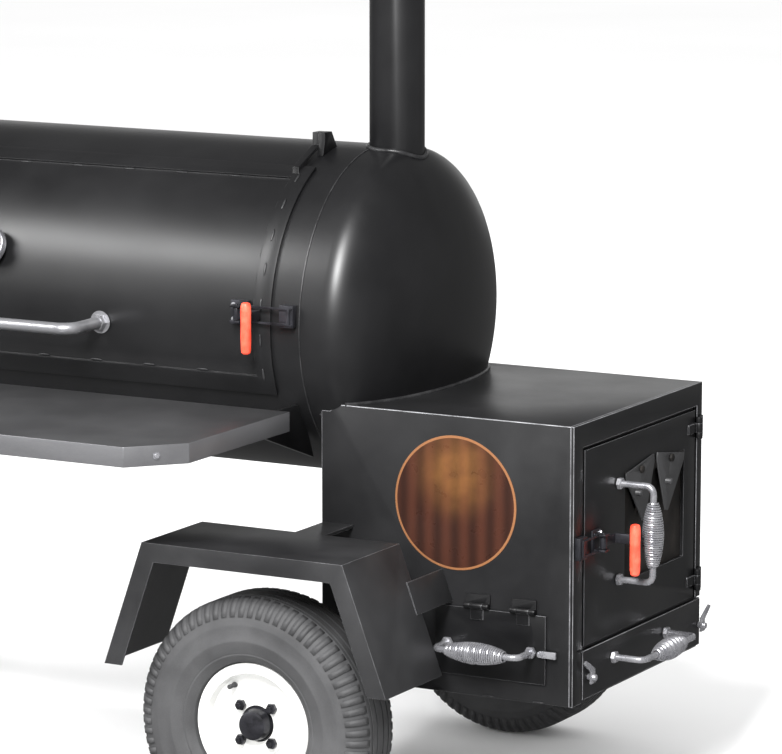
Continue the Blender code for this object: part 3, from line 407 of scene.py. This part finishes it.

# ---- Cooking door: curved plate with a lapping flat strap all round, hung on two pinned arms.
# Stitch welds fix the straps; painted with the tank.
eased("cooking_door", SATIN, "satin_black", 1.0)
for tag in ("left", "right"):
    eased("door_hinge_lug_" + tag, SATIN, "satin_black", 0.8)


def stitch_model():
    clear()
    bpy.ops.mesh.primitive_uv_sphere_add(segments=10, ring_count=6, radius=1)
    model = bpy.context.object
    model.data.transform(Matrix.Diagonal((0.0125, 0.0022, 0.0016, 1)))
    bpy.ops.object.shade_smooth()
    return model


def on_tank(x, degrees, radius, turn=0.0):
    """Places a model lying along X on the skin at an angle up from the front horizontal."""
    a = math.radians(degrees)
    out = Vector((0, -math.cos(a), math.sin(a)))
    across = Vector((1, 0, 0))
    up = out.cross(across)
    face = Matrix((across, up, out)).transposed().to_4x4()
    spot = Vector((x, MID_Y, TANK_Z)) + out * radius
    return Matrix.Translation(spot) @ face @ Matrix.Rotation(math.radians(turn), 4, "Z")


SKIN = 0.3062
stitches = [on_tank(DOOR_MID + k * 0.114, a, SKIN) for k in range(-4, 5) for a in (56.0, -16.4)]
stitches += [on_tank(DOOR_MID + side * 0.572, a, SKIN, 90) for side in (-1, 1) for a in range(-10, 54, 9)]
dress(copies("strap_stitch_welds", stitch_model(), stitches), "cooking_door", WELD, "satin_black")
outer = [on_tank(DOOR_MID + side * 0.5875, a, 0.3106, 90) for side in (-1, 1) for a in range(-16, 60, 12)]
dress(copies("strap_end_stitches", stitch_model(), outer), "cooking_door", WELD, "satin_black")

# ---- Door handle: 22 mm stainless tube with bent ends, threaded into collars on the door.
# Linished along its length, so the highlight breaks into fine streaks.
STAINLESS = finish("linished_stainless_tube", "#7d7d80", "#9c9c9f", 0.7, 0.34, 1.2, 0.02, 40, (0.06, 1, 1),
                   0.05)


def rounded(corners, bend, steps=10):
    """The corner points with each inner corner turned into an arc."""
    points = [Vector(corners[0])]
    for before, corner, after in zip(corners, corners[1:], corners[2:]):
        corner = Vector(corner)
        a, b = (Vector(before) - corner).normalized(), (Vector(after) - corner).normalized()
        half = a.angle(b) / 2
        centre = corner + (a + b).normalized() * (bend / math.sin(half))
        first = (corner + a * bend / math.tan(half) - centre).normalized()
        last = (corner + b * bend / math.tan(half) - centre).normalized()
        points += [centre + bend * first.slerp(last, k / steps) for k in range(steps + 1)]
    return points + [Vector(corners[-1])]


SKIN_Y, HANDLE_Y, HANDLE_Z = MID_Y - SKIN, MID_Y - 0.410, 0.886
bar = wire("door_handle_tube", rounded([(0.536, SKIN_Y, HANDLE_Z), (0.536, HANDLE_Y, HANDLE_Z),
                                        (0.044, HANDLE_Y, HANDLE_Z),
                                        (0.044, SKIN_Y, HANDLE_Z)], 0.032), 0.011, 7)
collars = [turned("collar", [(0, 0.0005), (0.0148, 0.0005), (0.0158, 0.0018), (0.0158, 0.0105),
                             (0.0142, 0.0130),
                             (0.0115, 0.0130)], (x, SKIN_Y, HANDLE_Z), (0, -1, 0), 6) for x in (0.536, 0.044)]
washers = [turned("washer", [(0, 0.0), (0.0205, 0.0), (0.0210, 0.0012), (0.0115, 0.0012)],
                  (x, SKIN_Y, HANDLE_Z),
                  (0, -1, 0), 32) for x in (0.536, 0.044)]
dress(joined("door_handle_shape", [bar, *collars, *washers]), "cooking_door", STAINLESS, "stainless",
      "door_handle")

# ---- Door thermometer: 3 inch bimetal dial, plated steel bezel, white enamelled face, glass front.
# The bezel is bright nickel; the face is matt and slightly warm, with black marks.
NICKEL = finish("bright_nickel_plate", "#85858a", "#a8a8ab", 0.7, 0.28, 1.0, 0.015, 25, spread=0.05)
FACE = finish("matt_white_dial_enamel", "#e6e4de", "#f1efe9", 0.0, 0.45, 1.0, 0.01, 30)
MARKS = finish("black_dial_ink", "#101010", "#1a1a1a", 0.0, 0.5, 1.0, 0.01, 20)
GLASS = bpy.data.materials.new("clear_dial_glass")
GLASS.use_nodes = True
glass_tree = GLASS.node_tree
glass_shader = glass_tree.nodes["Principled BSDF"]
glass_shader.inputs["Roughness"].default_value = 0.03
glass_shader.inputs["IOR"].default_value = 1.5
glass_shader.inputs["Transmission Weight"].default_value = 1.0
smear = node(glass_tree, "ShaderNodeTexNoise", {}, {
    "Vector": node(glass_tree, "ShaderNodeTexCoord").outputs["Object"], "Scale": 60.0})
glass_tree.links.new(node(glass_tree, "ShaderNodeMapRange", {}, {
    "Value": smear.outputs["Fac"], "To Min": 0.01, "To Max": 0.07}).outputs["Result"],
    glass_shader.inputs["Roughness"])
TILT = math.radians(20)
OUT = Vector((0, -math.cos(TILT), math.sin(TILT)))
DIAL = Vector((DOOR_MID, MID_Y, TANK_Z)) + SKIN * OUT
dress(turned("thermometer_bezel", [(0, 0), (0.0080, 0), (0.0080, 0.0100), (0.0350, 0.0118), (0.0378, 0.0150),
                                   (0.0380, 0.0240), (0.0372, 0.0278), (0.0355, 0.0290), (0.0335, 0.0282),
                                   (0.0330, 0.0225), (0, 0.0225)], DIAL, OUT, 64),
      "cooking_door", NICKEL, "plated_steel", "thermometer")
dress(turned("thermometer_face", [(0, 0.0228), (0.0325, 0.0228), (0.0325, 0.0232), (0, 0.0232)], DIAL, OUT,
             48),
      "cooking_door", FACE, "plated_steel")
turn_out = OUT.to_track_quat("Z", "Y").to_matrix().to_4x4()
marks = []
for k in range(31):
    length = 0.0055 if k % 5 == 0 else 0.0030
    tick = box_at("tick", (-0.0004, 0.0305 - length, 0.0232), (0.0004, 0.0305, 0.0235), 0)
    tick.data.transform(Matrix.Rotation(math.radians(135 - 9 * k), 4, "Z"))
    marks.append(tick)
needle = box_at("needle", (-0.0007, -0.0060, 0.0240), (0.0007, 0.0240, 0.0244), 0.1)
needle.data.transform(Matrix.Rotation(math.radians(62), 4, "Z"))
boss = turned("needle_boss", [(0, 0.0236), (0.0028, 0.0236), (0.0026, 0.0250), (0, 0.0254)], (0, 0, 0),
              (0, 0, 1), 20)
dial_marks = joined("thermometer_marks", [*marks, needle, boss])
dial_marks.data.transform(Matrix.Translation(DIAL) @ turn_out)
dress(dial_marks, "cooking_door", MARKS, "plated_steel")
dress(turned("thermometer_glass", [(0, 0.0262), (0.0330, 0.0262), (0.0334, 0.0270), (0.0200, 0.0280),
                                   (0, 0.0284)],
             DIAL, OUT, 48), "cooking_door", GLASS, "plated_steel")

# ---- Over-centre latches: pressed base, lever and hook on the door, catch welded to the fixed side.
# Black zinc steel with bright pivot pins; the levers end in dipped red vinyl, soft and slightly waxy.
VINYL = finish("dipped_red_vinyl", "#d63a26", "#ec5a44", 0.0, 0.42, 1.4, 0.06, 18, spread=0.06)
BLACK_ZINC = finish("black_zinc_steel", "#17171a", "#2e2e33", 0.5, 0.38, 1.5, 0.05, 25)
for tag in ("door", "firebox"):
    for part in ("base", "lever", "catch"):
        eased(f"{tag}_latch_{part}", BLACK_ZINC, "satin_black", 0.5)
GRIP = [(0, -0.0660), (0.0055, -0.0652), (0.0082, -0.0625), (0.0092, -0.0560), (0.0097, -0.0350),
        (0.0093, -0.0100),
        (0.0098, 0.0120), (0.0092, 0.0220), (0.0078, 0.0262), (0.0050, 0.0278), (0, 0.0280)]
for tag, body, spot in (("door", "door_latch", (0.880, MID_Y - 0.3642, 0.927)),
                        ("firebox", "firebox_latch", (1.5428, MID_Y - 0.135, 0.548))):
    dress(turned(tag + "_grip_dip", GRIP, spot, (0, 0, 1), 32), body, VINYL, "red_grip", tag + "_latch_grip")


def bolt(spot, out, size=0.0050, thick=0.0034):
    """Hex head on a washer."""
    head = turned("bolt", [(0, 0.0012), (size, 0.0012), (size, thick), (size * 0.86, thick + 0.0008),
                           (0, thick + 0.0010)],
                  spot, out, 6)
    ring = turned("washer", [(0, 0), (size * 1.35, 0), (size * 1.38, 0.0010), (0, 0.0013)], spot, out, 20)
    return joined("bolt", [head, ring])


door_bolts = [bolt((x, MID_Y - 0.3121, z), (0, -1, 0), 0.0036) for x in (0.824,) for z in (0.914, 0.940)]
dress(joined("door_latch_bolts", door_bolts), "cooking_door", NICKEL, "plated_steel")
catch_bolts = [bolt((0.9472, MID_Y - 0.3190, z), (0, -1, 0), 0.0018) for z in (0.912, 0.942)]
dress(joined("door_catch_bolts", catch_bolts), "chassis", BLACK_ZINC, "satin_black")
fire_bolts = [bolt((1.4907, MID_Y - 0.171, z), (1, 0, 0), 0.0036) for z in (0.533, 0.563)]
dress(joined("firebox_latch_bolts", fire_bolts), "firebox_door", NICKEL, "plated_steel")

# ---- Front shelf: 3 mm sheet with a turned-down rim and clipped corners, on two plate brackets.
# Satin paint a lighter grey than the tank's, a painted sheen for the light the top catches; the rim's front
# faces are painted brighter still, a painted highlight, and the corner bolts are bright plate.
# A lighter grey than the tank's paint, shared by the shelf, the draft flaps and the coupler lever; on the shelf
# top and the flaps it is painted light for the light they catch.
SHELF = finish("satin_black_sheet_painted_lighter", "#29292a", "#363637", 0.1, 0.42, 2.0, 0.08, 220, spread=0.04,
               lift=0.2)
# Lighter metallic grey for the rim's front faces: a painted highlight.
RIM = finish("painted_highlight_sheet_rim", "#5f5f61", "#6e6e70", 0.6, 0.36, 1.4, 0.04, 120, (0.2, 1, 1))
shelf = eased("front_shelf", SHELF, "black_sheet", 1.2)
# The rim's front faces take the second coat, the painted highlight.
shelf.data.materials.append(RIM)
for face in shelf.data.polygons:
    if abs(face.normal.z) < 0.5 and face.center.y < MID_Y - 0.37:
        face.material_index = 1
for tag in ("left", "right"):
    eased("shelf_arm_" + tag, SATIN, "satin_black", 0.8)
CLIP = Vector((0.749, -0.662, 0)).normalized()
corner_bolts = []
for side in (-1, 1):
    out = Vector((side * CLIP.x, CLIP.y, 0))
    spot = Vector((0.290 + side * (0.6360 + 0.0005), MID_Y - 0.7450 - 0.0005, 0.7450))
    corner_bolts.append(bolt(spot, out, 0.0048))
dress(joined("shelf_corner_bolts", corner_bolts), "chassis", NICKEL, "plated_steel")

# ---- Firebox: 6 mm plate box welded corner to corner and coped round the tank's head.
# The same stoved paint, dulled by heat on top, its rounded edges a lighter metal grey, a painted highlight;
# fillet beads close it to the tank and along its corners.
HOT = finish("heat_dulled_black_paint", "#111112", "#1c1c1d", 0.0, 0.38, 2.2, 0.08, 200, spread=0.04,
             lift=0.2)
eased("firebox_body", HOT, "satin_black", 1.6, EDGE_HIGHLIGHT)
eased("firebox_face_frame", SATIN, "satin_black", 1.0, EDGE_HIGHLIGHT)
top_weld = []
for k in range(61):
    y = -0.266 + 0.532 * k / 60
    r = math.hypot(y, TANK_Z - 0.767)
    x = HEAD_X1 + HEAD_DEPTH * max(1 - (r / TANK_R) ** 2.1, 0) ** (1 / 2.1)
    top_weld.append((x + 0.001, y + MID_Y, 0.7675))
end_weld = [(0.9785, y + MID_Y, TANK_Z - math.sqrt(TANK_R ** 2 - y * y) - 0.001)
            for y in (-0.264 + 0.528 * k / 60 for k in range(61))]
dress(joined("firebox_tank_welds", [wire("top_weld", top_weld, 0.0042), wire("end_weld", end_weld, 0.0042)]),
      "chassis", WELD, "satin_black")
dashes = [Matrix.Translation((1.4870, MID_Y + y, 0.3600)) @ Matrix.Rotation(math.radians(90), 4, "Z")
          for y in (-0.24, 0.25)]
dashes += [Matrix.Translation((1.02 + 0.1 * k, MID_Y - 0.2690, 0.2660)) for k in range(5)]
dress(copies("firebox_stitch_welds", stitch_model(), dashes), "chassis", WELD, "satin_black")

# ---- Firebox door: 6 mm plate on two pinned hinges, a square draft window, two air flaps on bolts.
# Satin paint, its rounded edges a lighter metal grey, a painted highlight; the flaps are sheet a shade lighter
# for the light they catch, a painted highlight; the plate behind them sooted.
eased("firebox_door", SATIN, "satin_black", 1.2, EDGE_HIGHLIGHT)
eased("draft_plate", SOOT, "satin_black", 0.5)
# The flaps take the lighter sheet grey: a painted highlight for the light they catch.
for tag in ("left", "right"):
    eased("draft_flap_" + tag, SHELF, "black_sheet", 0.5)
for tag in ("upper", "lower"):
    eased("firebox_door_hinge_" + tag, SATIN, "satin_black", 0.6)


def coil_grip(name, body, skin, slot, foot_a, foot_b, out, stands_for):
    """Bent rod with nuts at its feet and a grip wound from spring wire, fatter in the middle."""
    a, b, away = Vector(foot_a), Vector(foot_b), Vector(out)
    rod = wire("rod", rounded([a, a + away, b + away, b], 0.014), 0.0060, 4)
    along, span = (b - a).normalized(), (b - a).length
    middle = a + away + along * (span * 0.5)
    side = along.cross(away).normalized()
    lift = side.cross(along)
    turns, points = 28, []
    for k in range(turns * 14 + 1):
        share = k / (turns * 14)
        radius = 0.0076 + 0.0106 * math.sin(math.pi * share) ** 0.75
        t = 2 * math.pi * turns * share
        around = side * math.cos(t) + lift * math.sin(t)
        points.append(middle + along * (share - 0.5) * 0.116 + radius * around)
    spring = wire("spring", points, 0.0020, 2)
    nuts = [turned("nut", [(0, 0.0004), (0.0102, 0.0004), (0.0110, 0.0014), (0.0110, 0.0080),
                           (0.0095, 0.0095),
                           (0.0065, 0.0095)], foot, away, 6) for foot in (a, b)]
    return dress(joined(name, [rod, spring, *nuts]), body, skin, slot, stands_for)


coil_grip("firebox_door_coil_handle", "firebox_door", NICKEL, "plated_steel", (1.4866, MID_Y - 0.090, 0.637),
          (1.4866, MID_Y - 0.090, 0.462), (0.070, 0, 0), "firebox_door_handle")

# ---- Ash drawer: folded tray with a plate front, two swing catches, on runners under the fire grate.
# Front painted, its rounded edges a lighter metal grey, a painted highlight; the catches and the coil grip are
# nickel plated; inside is bare and grey with ash.
BARE = finish("oiled_hot_rolled_steel", "#2b2825", "#4a443f", 0.6, 0.52, 3.0, 0.15, 60)
eased("ash_drawer", HOT, "satin_black", 1.0, EDGE_HIGHLIGHT)
for tag in ("left", "right"):
    eased("drawer_catch_" + tag, NICKEL, "plated_steel", 0.4)
eased("drawer_runners", BARE, "raw_steel", 0.6)
coil_grip("ash_drawer_coil_handle", "ash_drawer", NICKEL, "plated_steel", (1.4866, MID_Y - 0.107, 0.323),
          (1.4866, MID_Y + 0.113, 0.323), (0.062, 0, 0), "ash_drawer_handle")
eased("fire_grate", BARE, "raw_steel", 0.8)

# ---- Clean-out flap in the firebox side: plate hung from two butt hinges, held shut by a turn button.
# Painted plate, its rounded edges a lighter metal grey, a painted highlight; black hinges, plated button and
# grip.
eased("side_flap", SATIN, "satin_black", 0.8, EDGE_HIGHLIGHT)
for tag in ("left", "right"):
    eased("side_flap_hinge_" + tag, SATIN, "satin_black", 0.5)
eased("side_flap_turn_button", NICKEL, "plated_steel", 0.5)
coil_grip("side_flap_coil_handle", "side_flap", NICKEL, "plated_steel", (1.242, MID_Y - 0.2736, 0.357),
          (1.408, MID_Y - 0.2736, 0.357), (0, -0.055, 0), "side_flap_handle")

# ---- Round emblem on the firebox: thin aluminium disc with a plain printed field and a tan border.
# Gloss print; a warm brown field of boards lit from above, and nothing else on it.
EMBLEM = bpy.data.materials.new("gloss_printed_disc")
EMBLEM.use_nodes = True
tree = EMBLEM.node_tree
shader = tree.nodes["Principled BSDF"]
shader.inputs["Coat Weight"].default_value = 0.08
shader.inputs["Specular IOR Level"].default_value = 0.25
centred = node(tree, "ShaderNodeMapping", {}, {
    "Vector": node(tree, "ShaderNodeTexCoord").outputs["Object"], "Location": (-1.253, 0, -0.610)})
flat = node(tree, "ShaderNodeMapping", {}, {"Vector": centred.outputs["Vector"], "Scale": (1, 0, 1)})
reach = node(tree, "ShaderNodeVectorMath", {"operation": "LENGTH"}, {0: flat.outputs["Vector"]})
boards = node(tree, "ShaderNodeTexWave", {"bands_direction": "X"}, {
    "Vector": flat.outputs["Vector"], "Scale": 9.0, "Distortion": 0.6, "Detail": 3.0})
mottle = node(tree, "ShaderNodeTexNoise", {},
              {"Vector": flat.outputs["Vector"], "Scale": 28.0, "Detail": 5.0})
wood = node(tree, "ShaderNodeMix", {"data_type": "RGBA"}, {
    "Factor": boards.outputs["Fac"], "A": paint("#24140f"), "B": paint("#351d15")})
lamp_reach = node(tree, "ShaderNodeVectorMath", {"operation": "DISTANCE"}, {
    0: flat.outputs["Vector"], 1: (0.0, 0.0, 0.055)})
glow = node(tree, "ShaderNodeMapRange", {"interpolation_type": "SMOOTHERSTEP"}, {
    "Value": lamp_reach.outputs["Value"], "From Min": 0.005, "From Max": 0.110, "To Min": 0.20,
    "To Max": 0.0})
lit = node(tree, "ShaderNodeMath", {"operation": "MULTIPLY"},
           {0: glow.outputs["Result"], 1: mottle.outputs["Fac"]})
warm = node(tree, "ShaderNodeMix", {"data_type": "RGBA"}, {
    "Factor": lit.outputs["Value"], "A": wood.outputs["Result"], "B": paint("#c98b45")})
edge = node(tree, "ShaderNodeMath", {"operation": "GREATER_THAN"}, {0: reach.outputs["Value"], 1: 0.1170})
tree.links.new(node(tree, "ShaderNodeMix", {"data_type": "RGBA"}, {
    "Factor": edge.outputs["Value"], "A": warm.outputs["Result"], "B": paint("#6e4a30")}).outputs["Result"],
    shader.inputs["Base Color"])
tree.links.new(node(tree, "ShaderNodeMapRange", {}, {
    "Value": mottle.outputs["Fac"], "To Min": 0.22, "To Max": 0.36}).outputs["Result"],
    shader.inputs["Roughness"])
disc = turned("emblem_disc", [(0, 0), (0.1206, 0), (0.1215, 0.0004), (0.1210, 0.0010), (0, 0.0010)],
              (1.253, MID_Y - 0.2683, 0.610), (0, -1, 0), 96)
dress(disc, "chassis", EMBLEM, "emblem_print", "emblem_plate")

# ---- Fenders: bent 3 mm sheet with an outer skirt, held off the firebox by flat straps.
# Satin paint, stone-chipped, and a lighter metal grey along the bends, a painted highlight.
EDGEWORN = finish("road_worn_satin_black", "#1b1b1c", "#29292a", 0.0, 0.38, 2.4, 0.10, 160, spread=0.04,
                  lift=0.25)
for tag in ("near", "far"):
    eased(tag + "_fender", EDGEWORN, "satin_black", 1.4, EDGE_HIGHLIGHT)

# ---- Wheels: 8 inch pressed steel rims in white enamel, four lug nuts, bias-ply trailer tyres, black hubs.
# Rubber is moulded and greyed by road dust; enamel is thick and glossy; hubs are painted cast iron.
RUBBER = finish("dusty_moulded_rubber", "#2a2a2b", "#3c3c3d", 0.0, 0.66, 2.0, 0.20, 120, spread=0.06)
ENAMEL = finish("thick_white_enamel", "#acacaa", "#bebebc", 0.0, 0.24, 2.0, 0.04, 70)
WHEEL_X, AXLE_Z = 0.990, 0.231
SIDEWALL = [(0.1020, 0.0460), (0.1142, 0.0470), (0.1165, 0.0560), (0.1250, 0.0635), (0.1300, 0.0668),
            (0.1330, 0.0668),
            (0.1360, 0.0690), (0.1520, 0.0715), (0.1545, 0.0730), (0.1575, 0.0730), (0.1600, 0.0717),
            (0.1800, 0.0712), (0.1830, 0.0722), (0.1860, 0.0718), (0.1980, 0.0688), (0.2120, 0.0630),
            (0.2215, 0.0550), (0.2270, 0.0470), (0.2288, 0.0400)]
TREAD = [(0.2308, 0.0370), (0.2308, 0.0300), (0.2245, 0.0294), (0.2245, 0.0262), (0.2308, 0.0256),
         (0.2309, 0.0130),
         (0.2245, 0.0124), (0.2245, 0.0092), (0.2309, 0.0086)]
# shoulder bar standing 1.5 mm proud of the casing
LUG = [(0.1990, 0.0640), (0.1990, 0.0698), (0.2125, 0.0650), (0.2225, 0.0565), (0.2282, 0.0482),
       (0.2308, 0.0395), (0.2240, 0.0380), (0.1990, 0.0640)]
half = SIDEWALL + TREAD
profile = half + [(r, -w) for r, w in reversed(half)]
for tag, side in (("near", -1), ("far", 1)):
    hub_spot = Vector((WHEEL_X, MID_Y + side * 0.4845, AXLE_Z))
    facing = (0, side, 0)
    body = tag + "_wheel"
    casing = turned(tag + "_tyre_casing", profile + [profile[0]], hub_spot, facing, 120)
    bar = closed(turned("lug", LUG, (0, 0, 0), (0, -1, 0), 1, 2.9))
    upright = [Matrix.Rotation(2 * math.pi * k / 72, 4, "Y") for k in range(72)]
    facings = [Matrix.Translation(hub_spot) @ Matrix.Rotation(turn, 4, "Z") for turn in (0, math.pi)]
    lugs = copies("lugs", bar, [facing_way @ around for facing_way in facings for around in upright])
    dress(joined(tag + "_tyre_rubber", [casing, lugs]), body, RUBBER, "tyre_rubber", tag + "_wheel_tyre")
    rim = turned(tag + "_rim_enamel", [
        (0.0935, -0.0510), (0.1120, -0.0514), (0.1134, -0.0495), (0.1110, -0.0475), (0.1002, -0.0472),
        (0.0985, -0.0300),
        (0.0985, 0.0300), (0.1002, 0.0472), (0.1110, 0.0475), (0.1134, 0.0495), (0.1120, 0.0514),
        (0.0950, 0.0510),
        (0.0925, 0.0420), (0.0905, 0.0345), (0.0840, 0.0312), (0.0700, 0.0272), (0.0620, 0.0262),
        (0.0575, 0.0322),
        (0.0540, 0.0332), (0.0330, 0.0332), (0.0330, 0.0290), (0.0545, 0.0288), (0.0620, 0.0212),
        (0.0900, 0.0270),
        (0.0935, -0.0510)], hub_spot, facing, 96)
    dress(rim, body, ENAMEL, "white_enamel", tag + "_wheel_rim")
    hub = turned(tag + "_hub_casting", [
        (0.0128, -0.0800), (0.0310, -0.0800), (0.0320, -0.0785), (0.0320, 0.0150), (0.0540, 0.0150),
        (0.0550, 0.0160),
        (0.0550, 0.0200), (0.0540, 0.0210), (0.0322, 0.0210), (0.0318, 0.0300), (0.0300, 0.0345),
        (0.0288, 0.0345),
        (0.0280, 0.0480), (0.0255, 0.0545), (0.0200, 0.0572), (0.0, 0.0580), (0.0, 0.0300), (0.0128, 0.0300),
        (0.0128, -0.0800)], hub_spot, facing, 48)
    dress(hub, body, BLACK_ZINC, "satin_black", tag + "_wheel_hub")
    nuts = []
    for k in range(4):
        t = math.pi / 4 + k * math.pi / 2
        spot = hub_spot + Vector((0.0445 * math.cos(t), side * 0.0332, 0.0445 * math.sin(t)))
        nuts.append(turned("lug_nut", [(0, 0), (0.0088, 0), (0.0102, 0.0020), (0.0102, 0.0085),
                                       (0.0085, 0.0108),
                                       (0.0052, 0.0112), (0.0050, 0.0165), (0, 0.0170)], spot, facing, 6))
    dress(joined(tag + "_lug_nuts", nuts), body, BLACK_ZINC, "satin_black")
    stem_spot = hub_spot + Vector((0.0800 * math.cos(2.2), side * 0.0300, 0.0800 * math.sin(2.2)))
    stem = turned(tag + "_valve_stem", [(0, 0), (0.0052, 0), (0.0050, 0.0040), (0.0036, 0.0080),
                                        (0.0036, 0.0150),
                                        (0.0042, 0.0152), (0.0042, 0.0210), (0.0034, 0.0222), (0, 0.0224)],
                  stem_spot, facing, 20)
    dress(stem, body, RUBBER, "tyre_rubber")

# ---- Chassis underneath: square axle with stub spindles, box tongue with saddles, coupler, drop-leg jack.
# Hot-rolled section under the same paint; the inner jack leg and drain are bare bright steel.
for name in ("axle_beam", "tongue_tube", "coupler", "jack_outer_tube"):
    eased(name, EDGEWORN, "satin_black", 1.2)
eased("coupler_lever", SHELF, "black_sheet", 0.6)
eased("jack_leg", STAINLESS, "stainless", 0.8)
eased("drain_pipe", STAINLESS, "stainless", 0.5)
eased("drain_lever", VINYL, "red_grip", 0.6)

# ---- Inside the tank: baffle under the grates, rails each side, two slotted grates laid on the rails.
# Bare hot-rolled steel, browned with smoke and oil, so it is dull with a soft metallic edge.
for name in ("baffle_plate", "grate_rails", "cooking_grate_left", "cooking_grate_right"):
    eased(name, BARE, "raw_steel", 0.6)
